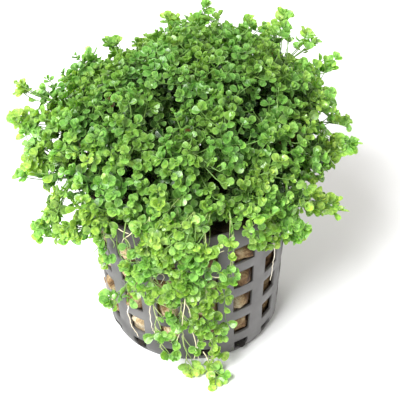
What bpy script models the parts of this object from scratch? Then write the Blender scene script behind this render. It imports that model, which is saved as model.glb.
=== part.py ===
"""Dwarf baby tears: a mound of tiny round leaves growing out of mineral wool in a slotted
plastic net pot, with leafy stems trailing over the front of the pot down to the surface.
Metres, +Z up. The origin is the centre of the pot's underside, and the pot stands on z = 0.
The front, where the stems trail, faces -Y."""
import math
import random

import bmesh
import bpy
from mathutils import Matrix, Vector, noise

MM = 0.001
GAP = 0.3 * MM
WELD = 0.00001

# Net pot: a tapered cup with five rows of windows between fifteen ribs
POT_HEIGHT = 41.3 * MM
RIM_RADIUS = 25.0 * MM
BELLY_RADIUS = 21.7 * MM
BELLY_HEIGHT = 2.4 * MM
FOOT_RADIUS = 20.5 * MM
POT_WALL = 1.2 * MM
POT_FLOOR = 1.2 * MM
POT_STEPS = 30
COLUMNS = 15
FIRST_COLUMN = math.radians(8.0)
RIB_WIDTH = 4.15 * MM
RIB_FLARE = 1.25 * MM
RIB_FLARE_HEIGHT = 15.0 * MM
ROWS = 5
ROW_PITCH = 7.9 * MM
FIRST_ROW_TOP = 4.04 * MM
FIRST_ROW_BOTTOM = 0.85 * MM
WINDOW_HEIGHT = 5.0 * MM
WINDOW_CUT_DEPTH = 8.0 * MM
FLOOR_SLOTS = 6
FLOOR_SLOT_SIZE = (7.5 * MM, 2.2 * MM)
FLOOR_SLOT_RADIUS = 12.0 * MM

# Mineral wool: a plug that wedges in the taper, round at its lower edge
WOOL_BOTTOM = POT_FLOOR + GAP
WOOL_TOP = 37.6 * MM
WOOL_CLEARANCE = 0.55 * MM
WOOL_ROUGHNESS = 0.5 * MM
WOOL_SIDES = 18
WOOL_RINGS = 8
WOOL_SQUARENESS = 5.0
WOOL_DETAIL = 4.0

# Leafy mound: half-widths from its own centre, then where it swells or falls back from
# that even shape, as azimuth, elevation, height and spread
MOUND_CENTRE = Vector((-0.5, 3.0, 46.0)) * MM
MOUND_LEFT = 39.5 * MM
MOUND_RIGHT = 39.0 * MM
MOUND_FRONT = 31.0 * MM
MOUND_BACK = 37.0 * MM
MOUND_UP = 30.0 * MM
MOUND_DOWN = 9.0 * MM
MOUND_GRID = 11
MOUND_GRID_LIFT = 0.2
SWELLS = [
    (145, 32, -4.5 * MM, 0.60),
    (45, 45, 3.5 * MM, 0.50),
    (200, -14, 3.0 * MM, 0.40),
    (254, 59, -6.0 * MM, 0.18),
    (330, 43, -5.0 * MM, 0.18),
    (198, 1, -5.0 * MM, 0.17),
    (352, -3, -4.5 * MM, 0.16),
    (42, 19, -4.5 * MM, 0.15),
]
LUMP_COUNT = 120
LUMP_COVER = 1.55
LUMP_NUDGE = 0.07
LUMP_SIZES = (0.35, 1.0)
LUMP_HEIGHT = 3.4 * MM
LUMP_SPREAD = 0.13
RUFFLE = 2.2 * MM
RUFFLE_DETAIL = 23.0

# Clumps of stems that make up the mound, in rings round the crown: number, elevation and
# azimuth of the first, seen from the point in the wool that they all root round
CLUMP_RINGS = {"crown_clump": (1, 85, 60), "upper_clump": (5, 58, -72), "outer_clump": (8, 27, -90)}
ROOTING_POINT = Vector((0.0, 0.0, 33.0)) * MM
CLUMP_GAP = 0.7 * MM
GROOVE_DEPTH = 2.4 * MM
GROOVE_SPREAD = 0.09
MOUTH_RADIUS = 20.0 * MM
LEAF_CLEARANCE = 0.5 * MM

# Leaves of the separate stems: whorls of four, as two crossed pairs, each leaf with three of
# the outline's corners. The waist is how far in the notches between the leaves reach
STEM_RADIUS = 0.35 * MM
LEAF_REACH = 2.7 * MM
LEAF_THICKNESS = 1.0 * MM
WHORL_SIDES = 12
WHORL_WAIST = 0.4
LEAF_ROUNDNESS = 0.5
LEAF_CUP = 0.9 * MM
LEAF_LEAN = 0.35

# Single shoots that stand out of the mound: azimuth, elevation and length beyond it
SHOOTS = [
    (171, 28, 4.5 * MM), (189, 10, 2.5 * MM), (152, 38, 4.5 * MM),
    (28, 40, 5.0 * MM), (2, 26, 4.5 * MM), (-15, 8, 2.0 * MM),
]
SHOOT_SPACING = 3.2 * MM
SHOOT_BURIED = 5.0 * MM
SHOOT_BARE = 6.0 * MM
SHOOT_RISE = 0.15

# Stems that trail over the front of the pot, each from close under the mound: angle round the
# pot from its front, height, and distance from its wall
TRAILING = {
    "trailing_stem_1": [(-46, 40.4, 2.4), (-49.5, 37, 2.6), (-52, 33, 2.6), (-51, 28.5, 2.4)],
    "trailing_stem_2": [
        (-33, 41.8, 2.3), (-32.5, 36, 2.4), (-33.5, 30, 2.5), (-37, 25, 2.7), (-44, 20.5, 2.9),
        (-55, 15.5, 3.2)],
    "trailing_stem_3": [
        (-20.5, 42.8, 2.8), (-20.5, 31, 3.0), (-20.5, 21, 2.8), (-22, 13, 2.4), (-21, 6, 2.4)],
    "trailing_stem_4": [
        (-6.5, 43.2, 2.8), (-6.5, 29, 3.2), (-6.5, 18, 2.8), (-6.5, 9, 2.6), (-5, 3.2, 3.6),
        (-3.5, 1.4, 5.6)],
    "trailing_stem_5": [
        (7.5, 43.2, 2.8), (7.5, 29, 3.2), (8, 18, 2.8), (8.5, 9, 2.6), (9, 3.2, 3.6), (9, 1.4, 6.2),
        (9, 1.4, 8.8)],
    "trailing_stem_6": [(21.5, 43.2, 2.8), (21.5, 31, 2.9), (22, 22, 2.8), (22, 14, 2.5), (23, 8, 2.4)],
    "trailing_stem_7": [(43, 41.4, 3.2), (49, 38.5, 3.8), (55, 36, 4.6), (62, 33.5, 5.4)],
}
TRAILING_SPACING = 4.8 * MM
ROUTE_STEPS = 2
LYING_DISTANCE = 6.0 * MM
LYING_LIFT = 1.5

# Bare roots that grew out of the wool through a window and hang down the pot's front
ROOTS = {
    "root_1": [(-20, 25, -1.4), (-24, 22.5, 0.9), (-26.5, 16, 1.0), (-26, 11, 0.9), (-23.5, 9, 0.8)],
    "root_2": [(-40, 17.5, -1.4), (-43, 15, 0.9), (-42, 9.5, 1.0), (-38, 6, 0.8)],
    "root_3": [(5, 9.4, -1.4), (1.5, 7.5, 0.9), (1, 4, 0.9), (2, 1, 1.6)],
    "root_4": [(56, 33.5, -1.4), (53, 31, 0.9), (53.5, 25.5, 1.0), (52, 20, 0.9)],
}
ROOT_RADIUS = 0.22 * MM


def clear_scene():
    for old in list(bpy.data.objects):
        bpy.data.objects.remove(old, do_unlink=True)


def new_collection(name):
    collection = bpy.data.collections.new(name)
    bpy.context.scene.collection.children.link(collection)
    return collection


def principled(name, colour, roughness, metallic=0.0):
    material = bpy.data.materials.new(name)
    material.use_nodes = True
    shader = material.node_tree.nodes["Principled BSDF"]
    shader.inputs["Base Color"].default_value = (*colour, 1.0)
    shader.inputs["Roughness"].default_value = roughness
    shader.inputs["Metallic"].default_value = metallic
    material.diffuse_color = (*colour, 1.0)
    return material


def add_object(name, mesh, collection, material=None):
    piece = bpy.data.objects.new(name, mesh)
    collection.objects.link(piece)
    if material:
        mesh.materials.append(material)
    return piece


def mesh_from(bm, name):
    bmesh.ops.recalc_face_normals(bm, faces=bm.faces)
    mesh = bpy.data.meshes.new(name)
    bm.to_mesh(mesh)
    bm.free()
    return mesh


def smooth(piece, angle=math.radians(40)):
    piece.data.shade_smooth()
    piece.data.set_sharp_from_angle(angle=angle)


def as_cutter(piece):
    piece.hide_render = True
    piece.display_type = "WIRE"
    return piece


def boolean(piece, other, operation):
    modifier = piece.modifiers.new(operation.lower() + "_" + other.name, "BOOLEAN")
    modifier.operation = operation
    modifier.solver = "EXACT"
    modifier.use_self = operation == "UNION"
    modifier.object = other
    return modifier


def turned(name, profile, steps, collection, material=None):
    """A turned body: the profile runs from the axis to the axis, down its outer side last."""
    bm = bmesh.new()
    points = [bm.verts.new((radius, 0.0, height)) for radius, height in profile]
    for first, second in zip(points, points[1:]):
        bm.edges.new((first, second))
    mesh = bpy.data.meshes.new(name)
    bm.to_mesh(mesh)
    bm.free()
    piece = add_object(name, mesh, collection, material)
    screw = piece.modifiers.new("turn", "SCREW")
    screw.steps = steps
    screw.render_steps = steps
    screw.use_merge_vertices = True
    screw.merge_threshold = WELD
    screw.use_smooth_shade = True
    return piece


def pot_outer_radius(height):
    """Radius of the pot's outside: a short sloping foot, then an even taper to the rim."""
    if height < BELLY_HEIGHT:
        return FOOT_RADIUS + (BELLY_RADIUS - FOOT_RADIUS) * max(height, 0.0) / BELLY_HEIGHT
    share = (height - BELLY_HEIGHT) / (POT_HEIGHT - BELLY_HEIGHT)
    return BELLY_RADIUS + (RIM_RADIUS - BELLY_RADIUS) * share


def rib_width(height):
    """Width of the upright ribs, which widen towards the foot."""
    return RIB_WIDTH + RIB_FLARE * max(0.0, 1 - height / RIB_FLARE_HEIGHT)


def column_direction(column):
    """Unit vector from the axis through the middle of a column of windows."""
    turn = FIRST_COLUMN + column * 2 * math.pi / COLUMNS
    return Vector((math.sin(turn), -math.cos(turn), 0.0))


def window_cutters(collection):
    """One mesh with a box for every window of the wall and every slot of the floor."""
    bm = bmesh.new()
    for row in range(ROWS):
        top = FIRST_ROW_TOP + row * ROW_PITCH
        bottom = FIRST_ROW_BOTTOM if row == 0 else top - WINDOW_HEIGHT
        middle = (top + bottom) / 2
        radius = pot_outer_radius(middle)
        width = 2 * radius * math.sin(math.pi / COLUMNS) - rib_width(middle)
        for column in range(COLUMNS):
            outward = column_direction(column)
            turn = Matrix.Rotation(math.atan2(outward.y, outward.x), 4, "Z")
            size = Matrix.Diagonal((WINDOW_CUT_DEPTH, width, top - bottom, 1.0))
            place = Matrix.Translation(outward * radius + Vector((0.0, 0.0, middle)))
            bmesh.ops.create_cube(bm, size=1.0, matrix=place @ turn @ size)
    slot_length, slot_width = FLOOR_SLOT_SIZE
    for slot in range(FLOOR_SLOTS):
        turn = Matrix.Rotation(slot * 2 * math.pi / FLOOR_SLOTS, 4, "Z")
        size = Matrix.Diagonal((slot_length, slot_width, 4 * POT_FLOOR, 1.0))
        place = Matrix.Translation((FLOOR_SLOT_RADIUS, 0.0, POT_FLOOR / 2))
        bmesh.ops.create_cube(bm, size=1.0, matrix=turn @ place @ size)
    return as_cutter(add_object("window_cutters", mesh_from(bm, "window_cutters"), collection))


def make_pot(parts, cutters, material):
    profile = [(0.0, POT_FLOOR), (FOOT_RADIUS - POT_WALL / 2, POT_FLOOR)]
    profile += [(RIM_RADIUS - POT_WALL, POT_HEIGHT), (RIM_RADIUS, POT_HEIGHT)]
    profile += [(BELLY_RADIUS, BELLY_HEIGHT), (FOOT_RADIUS, 0.0), (0.0, 0.0)]
    pot = turned("net_pot", profile, POT_STEPS, parts, material)
    boolean(pot, window_cutters(cutters), "DIFFERENCE")
    return pot


def make_wool(parts, material):
    """A ball of points pressed into the pot's taper, with a felted, uneven surface."""
    bm = bmesh.new()
    bmesh.ops.create_uvsphere(bm, u_segments=WOOL_SIDES, v_segments=WOOL_RINGS, radius=1.0)
    middle = (WOOL_TOP + WOOL_BOTTOM) / 2
    half_height = (WOOL_TOP - WOOL_BOTTOM) / 2
    for vert in bm.verts:
        across = math.hypot(vert.co.x, vert.co.y)
        power = across ** WOOL_SQUARENESS + abs(vert.co.z) ** WOOL_SQUARENESS
        scale = power ** (-1 / WOOL_SQUARENESS)
        height = middle + vert.co.z * scale * half_height
        rough = WOOL_ROUGHNESS * noise.noise(vert.co * WOOL_DETAIL)
        wall = pot_outer_radius(height) - POT_WALL - WOOL_CLEARANCE - WOOL_ROUGHNESS
        radius = across * scale * (wall + rough)
        turn = math.atan2(vert.co.y, vert.co.x)
        uneven = max(0.0, vert.co.z) * rough
        vert.co = Vector((radius * math.cos(turn), radius * math.sin(turn), height + uneven))
    wool = add_object("mineral_wool", mesh_from(bm, "mineral_wool"), parts, material)
    smooth(wool)
    return wool


def pot_envelope(cutters):
    """The space that the pot and its wool take, with the gap that the leaves keep to them."""
    profile = [(0.0, WOOL_TOP + WOOL_ROUGHNESS + GAP), (MOUTH_RADIUS, WOOL_TOP + WOOL_ROUGHNESS + GAP)]
    profile += [(MOUTH_RADIUS, POT_HEIGHT + GAP), (RIM_RADIUS + LEAF_CLEARANCE, POT_HEIGHT + GAP)]
    foot = BELLY_RADIUS + LEAF_CLEARANCE
    profile += [(foot, BELLY_HEIGHT), (foot, -MM), (0.0, -MM)]
    return as_cutter(turned("pot_envelope", profile, POT_STEPS, cutters))


def direction(azimuth, elevation):
    """Unit vector with its azimuth from +X towards +Y and its elevation above level, in degrees."""
    turn = math.radians(azimuth)
    rise = math.radians(elevation)
    return Vector((math.cos(rise) * math.cos(turn), math.cos(rise) * math.sin(turn), math.sin(rise)))


def clump_directions():
    """Name and direction of each clump, every one a little off its even place in its ring."""
    draw = random.Random(4)
    found = {}
    for ring, (count, elevation, first) in CLUMP_RINGS.items():
        for index in range(count):
            name = ring if count == 1 else f"{ring}_{index + 1}"
            azimuth = first + index * 360 / count + draw.uniform(-6, 6)
            found[name] = direction(azimuth, elevation + draw.uniform(-5, 5))
    return found


def lump_directions():
    """Directions of the shoot tips, spread evenly over the ball and then nudged."""
    draw = random.Random(11)
    golden = math.pi * (3 - math.sqrt(5))
    found = []
    for index in range(LUMP_COUNT):
        height = 1 - LUMP_COVER * (index + 0.5) / LUMP_COUNT
        across = math.sqrt(1 - height * height)
        spot = Vector((across * math.cos(index * golden), across * math.sin(index * golden), height))
        nudge = Vector((draw.uniform(-1, 1), draw.uniform(-1, 1), draw.uniform(-1, 1))) * LUMP_NUDGE
        found.append(((spot + nudge).normalized(), draw.uniform(*LUMP_SIZES)))
    return found


def mound_reach(way):
    """Distance from the mound's centre to its plain surface along a unit vector."""
    side = MOUND_RIGHT if way.x > 0 else MOUND_LEFT
    depth = MOUND_BACK if way.y > 0 else MOUND_FRONT
    rise = MOUND_UP if way.z > 0 else MOUND_DOWN
    reach = ((way.x / side) ** 2 + (way.y / depth) ** 2 + (way.z / rise) ** 2) ** -0.5
    for azimuth, elevation, height, spread in SWELLS:
        reach += height * math.exp(-(way.angle(direction(azimuth, elevation)) / spread) ** 2)
    return reach


def clump_border(point, clumps):
    """How close a point is to the border of two clumps: 1 on it, falling to 0."""
    way = (point - ROOTING_POINT).normalized()
    angles = sorted(way.angle(middle) for middle in clumps.values())
    return math.exp(-((angles[1] - angles[0]) / GROOVE_SPREAD) ** 2)


def make_mound(clumps):
    """The whole mound as one ball of points, lumpy where the shoot tips are."""
    bm = bmesh.new()
    bmesh.ops.create_cube(bm, size=2.0)
    bmesh.ops.subdivide_edges(bm, edges=bm.edges[:], cuts=MOUND_GRID - 1, use_grid_fill=True)
    lumps = lump_directions()
    for vert in bm.verts:
        even = Vector([math.tan(part * math.pi / 4) for part in vert.co]).normalized()
        way = (even + Vector((0.0, 0.0, MOUND_GRID_LIFT))).normalized()
        reach = mound_reach(way)
        bump = max(size * math.exp(-(way.angle(tip) / LUMP_SPREAD) ** 2) for tip, size in lumps)
        ruffle = RUFFLE * noise.noise(way * RUFFLE_DETAIL)
        point = MOUND_CENTRE + way * reach
        outer = min(1.0, max(0.0, (point - ROOTING_POINT).length / MOUND_FRONT - 0.5))
        groove = GROOVE_DEPTH * clump_border(point, clumps)
        reach += outer * (LUMP_HEIGHT * (bump - LUMP_SIZES[0]) + ruffle - groove)
        vert.co = MOUND_CENTRE + way * reach
    return bm


def cut_clump(mound, name, clumps):
    """Keeps the part of the mound that is nearer to this clump's direction than to any other."""
    bm = mound.copy()
    for other, middle in clumps.items():
        if other == name:
            continue
        away = (middle - clumps[name]).normalized()
        plane = ROOTING_POINT - away * CLUMP_GAP / 2
        everything = bm.verts[:] + bm.edges[:] + bm.faces[:]
        bmesh.ops.bisect_plane(
            bm, geom=everything, dist=WELD / 10, plane_co=plane, plane_no=away, clear_outer=True)
        rims = [edge for edge in bm.edges if edge.is_boundary]
        if rims:
            bmesh.ops.holes_fill(bm, edges=rims, sides=0)
    bmesh.ops.triangulate(bm, faces=bm.faces, ngon_method="EAR_CLIP")
    return mesh_from(bm, name)


def smooth_route(points):
    """Points on one smooth curve through the given ones."""
    ends = [2 * points[0] - points[1]] + points + [2 * points[-1] - points[-2]]
    found = []
    for before, first, second, after in zip(ends, ends[1:], ends[2:], ends[3:]):
        for step in range(ROUTE_STEPS):
            t = step / ROUTE_STEPS
            curve = 2 * first + (second - before) * t
            curve += (2 * before - 5 * first + 4 * second - after) * t ** 2
            curve += (3 * first - before - 3 * second + after) * t ** 3
            found.append(curve / 2)
    return found + [points[-1]]


def beside_pot(turn, height, stand_off):
    """A point beside the pot: degrees from its front, height and distance from its wall in mm."""
    radius = pot_outer_radius(height * MM) + stand_off * MM
    angle = math.radians(turn)
    return Vector((radius * math.sin(angle), -radius * math.cos(angle), height * MM))


def tube(name, points, radius, collection, material):
    """A thin tube with closed ends through the points, as a mesh."""
    curve = bpy.data.curves.new(name, "CURVE")
    curve.dimensions = "3D"
    curve.bevel_depth = radius
    curve.bevel_resolution = 0
    curve.use_fill_caps = True
    spline = curve.splines.new("POLY")
    spline.points.add(len(points) - 1)
    for spot, point in zip(spline.points, points):
        spot.co = (*point, 1.0)
    guide = add_object(name + "_guide", curve, collection)
    bpy.context.view_layer.update()
    graph = bpy.context.evaluated_depsgraph_get()
    mesh = bpy.data.meshes.new_from_object(guide.evaluated_get(graph))
    bm = bmesh.new()
    bm.from_mesh(mesh)
    bpy.data.meshes.remove(mesh)
    bpy.data.objects.remove(guide)
    bmesh.ops.remove_doubles(bm, verts=bm.verts, dist=WELD / 10)
    return add_object(name, mesh_from(bm, name), collection, material)


def add_whorl(bm, centre, facing, spin):
    """Four round leaves in a cross, as one thin four-lobed plate that faces a direction."""
    made = bmesh.ops.create_uvsphere(bm, u_segments=WHORL_SIDES, v_segments=2, radius=1.0)
    turn = facing.to_track_quat("Z", "Y").to_matrix()
    for vert in made["verts"]:
        if abs(vert.co.z) > 0.5:
            flat = Vector((0.0, 0.0, vert.co.z * LEAF_THICKNESS / 2))
        else:
            angle = math.atan2(vert.co.y, vert.co.x) + math.pi / WHORL_SIDES
            share = WHORL_WAIST + (1 - WHORL_WAIST) * abs(math.cos(2 * angle)) ** LEAF_ROUNDNESS
            out = Vector((math.cos(angle + spin), math.sin(angle + spin), 0.0))
            flat = out * share * LEAF_REACH + Vector((0.0, 0.0, share * LEAF_CUP))
        vert.co = centre + turn @ flat


def facing_out(point):
    """Leaves beside the pot face away from it and a little up, and leaves on the floor face up."""
    outward = Vector((point.x, point.y, 0.0)).normalized()
    stand_off = point.xy.length - pot_outer_radius(point.z)
    lying = min(1.0, max(0.0, stand_off / LYING_DISTANCE - 0.5))
    return (outward * (1 - lying) + Vector((0.0, 0.0, LEAF_LEAN + LYING_LIFT * lying))).normalized()


def whorl_places(points, first, spacing):
    """Places evenly spaced along a route, from its tip back to a distance from its start."""
    lengths = [0.0]
    for one, two in zip(points, points[1:]):
        lengths.append(lengths[-1] + (two - one).length)
    along = lengths[-1] - STEM_RADIUS
    while along > first:
        index = max(place for place, length in enumerate(lengths) if length <= along)
        share = (along - lengths[index]) / (lengths[index + 1] - lengths[index])
        yield points[index].lerp(points[index + 1], share)
        along -= spacing


def leafy_stem(name, points, parts, cutters, material, facing, spacing, bare):
    """One stem with its leaves: a thin tube, bare at its start, with whorls back from its tip."""
    stem = tube(name, points, STEM_RADIUS, parts, material)
    bm = bmesh.new()
    for index, place in enumerate(whorl_places(points, bare, spacing)):
        add_whorl(bm, place, facing(place), index * math.pi / 4)
    leaves = as_cutter(add_object(name + "_leaves", mesh_from(bm, name + "_leaves"), cutters))
    boolean(stem, leaves, "UNION")
    return stem


def make_trailing_stems(parts, cutters, material):
    for name, route in TRAILING.items():
        points = smooth_route([beside_pot(*spot) for spot in route])
        leafy_stem(
            name, points, parts, cutters, material, facing_out, TRAILING_SPACING, TRAILING_SPACING / 2)


def make_roots(parts, material):
    for name, route in ROOTS.items():
        points = smooth_route([beside_pot(*spot) for spot in route])
        smooth(tube(name, points, ROOT_RADIUS, parts, material))


def shoot_route(azimuth, elevation, length):
    """From inside the mound straight out, then curving up towards the light."""
    way = direction(azimuth, elevation)
    base = MOUND_CENTRE + way * mound_reach(way)
    tip = base + way * length + Vector((0.0, 0.0, length * SHOOT_RISE))
    return smooth_route([base - way * SHOOT_BURIED, base + way * length / 2, tip])


def make_clumps(parts, cutters, envelope, material):
    clumps = clump_directions()
    mound = make_mound(clumps)
    made = {}
    for name in clumps:
        made[name] = add_object(name, cut_clump(mound, name, clumps), parts, material)
        boolean(made[name], envelope, "DIFFERENCE")
        smooth(made[name], math.radians(50))
    mound.free()
    for index, (azimuth, elevation, length) in enumerate(SHOOTS):
        points = shoot_route(azimuth, elevation, length)
        way = (points[0] - ROOTING_POINT).normalized()
        owner = min(clumps, key=lambda name: way.angle(clumps[name]))
        shoot = leafy_stem(
            f"shoot_{index + 1}", points, cutters, cutters, material,
            lambda place: way, SHOOT_SPACING, SHOOT_BARE)
        boolean(made[owner], as_cutter(shoot), "UNION")


def main():
    clear_scene()
    parts = new_collection("dwarf_baby_tears")
    cutters = new_collection("cutters")
    pot_plastic = principled("pot_plastic", (0.20, 0.19, 0.19), 0.42)
    wool_fibre = principled("wool_fibre", (0.58, 0.44, 0.29), 0.95)
    leaf_green = principled("leaf_green", (0.22, 0.47, 0.06), 0.45)
    root_cream = principled("root_cream", (0.75, 0.70, 0.55), 0.6)
    make_pot(parts, cutters, pot_plastic)
    make_wool(parts, wool_fibre)
    envelope = pot_envelope(cutters)
    make_clumps(parts, cutters, envelope, leaf_green)
    make_trailing_stems(parts, cutters, leaf_green)
    make_roots(parts, root_cream)


main()
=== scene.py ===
"""Dwarf baby tears in a net pot: single stems and leaves in place of the solid clumps, a net
pot with rounded windows and fibrous mineral wool, on a plain pale floor. Metres, +Z up."""
import math
import random
from itertools import product
from typing import NamedTuple

import bmesh
import bpy
import numpy as np
from mathutils import Matrix, Vector, noise


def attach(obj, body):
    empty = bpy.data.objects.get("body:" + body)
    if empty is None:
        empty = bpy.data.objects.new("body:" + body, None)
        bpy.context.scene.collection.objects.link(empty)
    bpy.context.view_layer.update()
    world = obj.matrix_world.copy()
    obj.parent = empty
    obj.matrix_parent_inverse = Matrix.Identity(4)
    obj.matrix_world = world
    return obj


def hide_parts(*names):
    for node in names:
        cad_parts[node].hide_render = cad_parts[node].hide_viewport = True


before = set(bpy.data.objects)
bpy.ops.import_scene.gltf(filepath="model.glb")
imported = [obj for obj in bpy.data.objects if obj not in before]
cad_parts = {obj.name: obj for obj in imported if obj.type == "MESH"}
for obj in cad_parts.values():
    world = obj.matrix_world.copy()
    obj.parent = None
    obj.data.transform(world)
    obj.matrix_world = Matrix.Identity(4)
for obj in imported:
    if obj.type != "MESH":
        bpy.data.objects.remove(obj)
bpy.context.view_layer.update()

MM = 0.001
UP = Vector((0.0, 0.0, 1.0))

# Camera: where the photograph was taken from, with the turn of its frame
CAMERA_ELEVATION = math.radians(35.95)
CAMERA_ROLL = math.radians(-2.44)
CAMERA_DISTANCE = 308.88 * MM
CAMERA_TARGET = Vector((2.69, 0.0, 34.31)) * MM
CAMERA_AWAY = Vector((0.0, -math.cos(CAMERA_ELEVATION), math.sin(CAMERA_ELEVATION)))
CAMERA_PLACE = CAMERA_TARGET + CAMERA_AWAY * CAMERA_DISTANCE
CAMERA_TURN = (-CAMERA_AWAY).to_track_quat("-Z", "Y").to_matrix() @ Matrix.Rotation(CAMERA_ROLL, 3, "Z")
CAMERA_AXES = np.array(CAMERA_TURN)
FRAME_PIXELS = 400
FOCAL_PIXELS = 1244.6
SENSOR = 36.0

# Floor, light from all round, and lamps: place, target, diameter, power in watts and colour
FLOOR_SIZE = 6.0
FLOOR_COLOUR = (0.86, 0.86, 0.86)
FLOOR_ROUGHNESS = 0.7
WORLD_COLOUR = (1.0, 0.97, 0.94, 1.0)
WORLD_STRENGTH = 0.64
LAMPS = {
    "window_front_left": ((-0.37, -0.52, 0.74), (0.0, 0.0, 0.03), 0.50, 19.0, (0.97, 0.985, 1.0)),
    "front_right_fill": ((0.50, -0.42, 0.28), (0.0, 0.0, 0.03), 0.40, 0.4, (1.0, 0.99, 0.97)),
    "back_glow": ((-0.35, 0.55, 0.50), (0.0, 0.0, 0.05), 0.5, 2.0, (1.0, 1.0, 0.97)),
}
# The part of a noise's range over which roughness goes from one value to the other
NOISE_SPAN = (0.3, 0.7)

# Net pot, as in the solid model
POT_HEIGHT = 41.3 * MM
RIM_RADIUS = 25.0 * MM
BELLY_RADIUS = 21.7 * MM
BELLY_HEIGHT = 2.4 * MM
FOOT_RADIUS = 20.5 * MM
POT_WALL = 0.8 * MM
COLUMNS = 15
FIRST_COLUMN = math.radians(8.0)
RIB_WIDTH = 4.15 * MM
RIB_FLARE = 1.25 * MM
RIB_FLARE_HEIGHT = 15.0 * MM
ROWS = 5
ROW_PITCH = 7.9 * MM
FIRST_ROW_TOP = 4.04 * MM
FIRST_ROW_BOTTOM = 0.85 * MM
WINDOW_HEIGHT = 5.0 * MM
WINDOW_STEPS = 6
RIB_STEPS = 4
POT_EDGE = 0.2 * MM
EDGE_ANGLE = math.radians(40)
SMOOTH_ANGLE = math.radians(42)
# A ring of corners about halfway between the top windows and the rim
RIM_RING = 38.5 * MM
# The slots in the floor run from one ring to the other
FLOOR_SLOTS = 6
SLOT_STEPS = 3
FLOOR_RINGS = [8.25 * MM, 15.75 * MM]
# Painted shade darkens the pot from one height to the other at its rim, under the leaves, and at
# the left of its foot. A noise makes these edges ragged
POT_SHADE_RIM = (31 * MM, 38 * MM)
POT_SHADE_FOOT = (5 * MM, 14 * MM)
POT_SHADE_LEFT = (-2 * MM, 6 * MM)
POT_SHADE_RAGGED = 16 * MM

# Mineral wool
WOOL_BOTTOM = 0.9 * MM
WOOL_TOP = 37.4 * MM
WOOL_CLEARANCE = 0.6 * MM
WOOL_STEPS_ROUND = 300
WOOL_LEVELS = 90
WOOL_CAP_RINGS = 10
# How far it stands out into the windows; between the two angles round the pot (degrees) this
# changes to less than nothing, so that it is set back on the right. It fades at a window's edges
WOOL_BULGE = 2.3 * MM
WOOL_BULGE_RIGHT = -2.5 * MM
BULGE_EDGE = (38.0, 50.0)
WINDOW_FADE = 1.3 * MM
# How far its lower and upper edges are rounded: height and depth
WOOL_LOWER_EDGE = (1.0 * MM, 0.4 * MM)
WOOL_UPPER_EDGE = (4.0 * MM, 4.0 * MM)
# Its torn face: width and height of its lumps (mm), the highest of them, how far it is set back,
# the share by which the bulges vary and over what length, and the lumps of its ends
WOOL_LUMPS = [(2.6, 0.45), (0.9, 0.22)]
WOOL_HIGHEST_LUMP = 0.3 * MM
WOOL_SET_BACK = 0.15 * MM
WOOL_BULGE_SHARE = 0.8
WOOL_BULGE_LENGTH = 5 * MM
WOOL_END_LUMP = (3, 0.35)
# Where it is painted dark as shade: towards its foot, its top and its right side
WOOL_SHADE_FOOT = (4.3 * MM, 6.8 * MM)
WOOL_SHADE_TOP = (34.0 * MM, 37.0 * MM)
WOOL_SHADE_RIGHT = (-6.0 * MM, 20.0 * MM)

# Mound: the stems root in the wool and spread from here
MOUND_CENTRE = Vector((-0.5, 3.0, 46.0)) * MM
ROOTING_POINT = Vector((0.0, 0.0, 33.0)) * MM
ROOTING_RADIUS = 16.0 * MM
CLUMPS = (["crown_clump"] + [f"upper_clump_{n}" for n in range(1, 6)]
          + [f"outer_clump_{n}" for n in range(1, 9)])
# The faces of a clump that shoots come out of: how far outwards they face, as a cosine, and how
# far they are from the mound's centre
OUTWARD_COSINE = 0.3
OUTSIDE_FROM = 22 * MM
# The outer shoots: distance between tips, how far they stand out of the clump's face, and how
# many places are tried for each that has room
TIP_SPACING = 2.15 * MM
TIP_DEPTHS = (-2.4 * MM, 2.0 * MM)
TIP_TRIES = 7
# The mound's outside falls back in gentle waves; at the middle value of the noise it is level
WAVE_DEPTH = 3.2 * MM
WAVE_MIDDLE = 0.25
WAVE_LENGTH = 8.5 * MM
# Leaders come out of the wool: their share of a clump's outer shoots, the fewest of them, how far
# from the pot's axis they start and at most do, as shares of the rooting radius, how far they are
# scattered (mm), and how much they lean towards their tip at the start
LEADER_SHARE = 0.10
FEWEST_LEADERS = 5
LEADER_STARTS = (0.35, 1.0)
LEADER_LIMIT = 1.15
LEADER_SCATTER = 4
LEADER_LEAN = 0.5
# Other shoots start on a leader, where their distance off their reach and their turn add up to
# least: what a right angle counts, the nearest start as a share of the reach, and how much the
# way that an outer shoot leaves its leader varies
ASKEW_COST = 6 * MM
NEAREST_SHARE = 0.5
LEAVE_SPREAD = 0.5
# How far a stem keeps the ways of its two ends, as a share of the distance between them
BOW_REACH = 0.4
# Shares of outward and upward in the way that the leaves of outer shoots face
OUTER_FACING = (0.7, 0.45)
# Share of the shoots left out round the mound's edge, where it is open
OPEN_EDGE = 0.55
# Older shoots below the outer ones, darker green with age and painted darker as the mound's
# inner shade: spacing and depth of each layer, and size of leaves
INNER_LAYERS = [
    (2.5 * MM, (-8.5 * MM, -3.5 * MM), 1.0), (3.2 * MM, (-15.0 * MM, -8.5 * MM), 1.25),
    (3.8 * MM, (-25.0 * MM, -14.0 * MM), 1.7),
]
WITHERED_SHARE = 0.03

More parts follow.
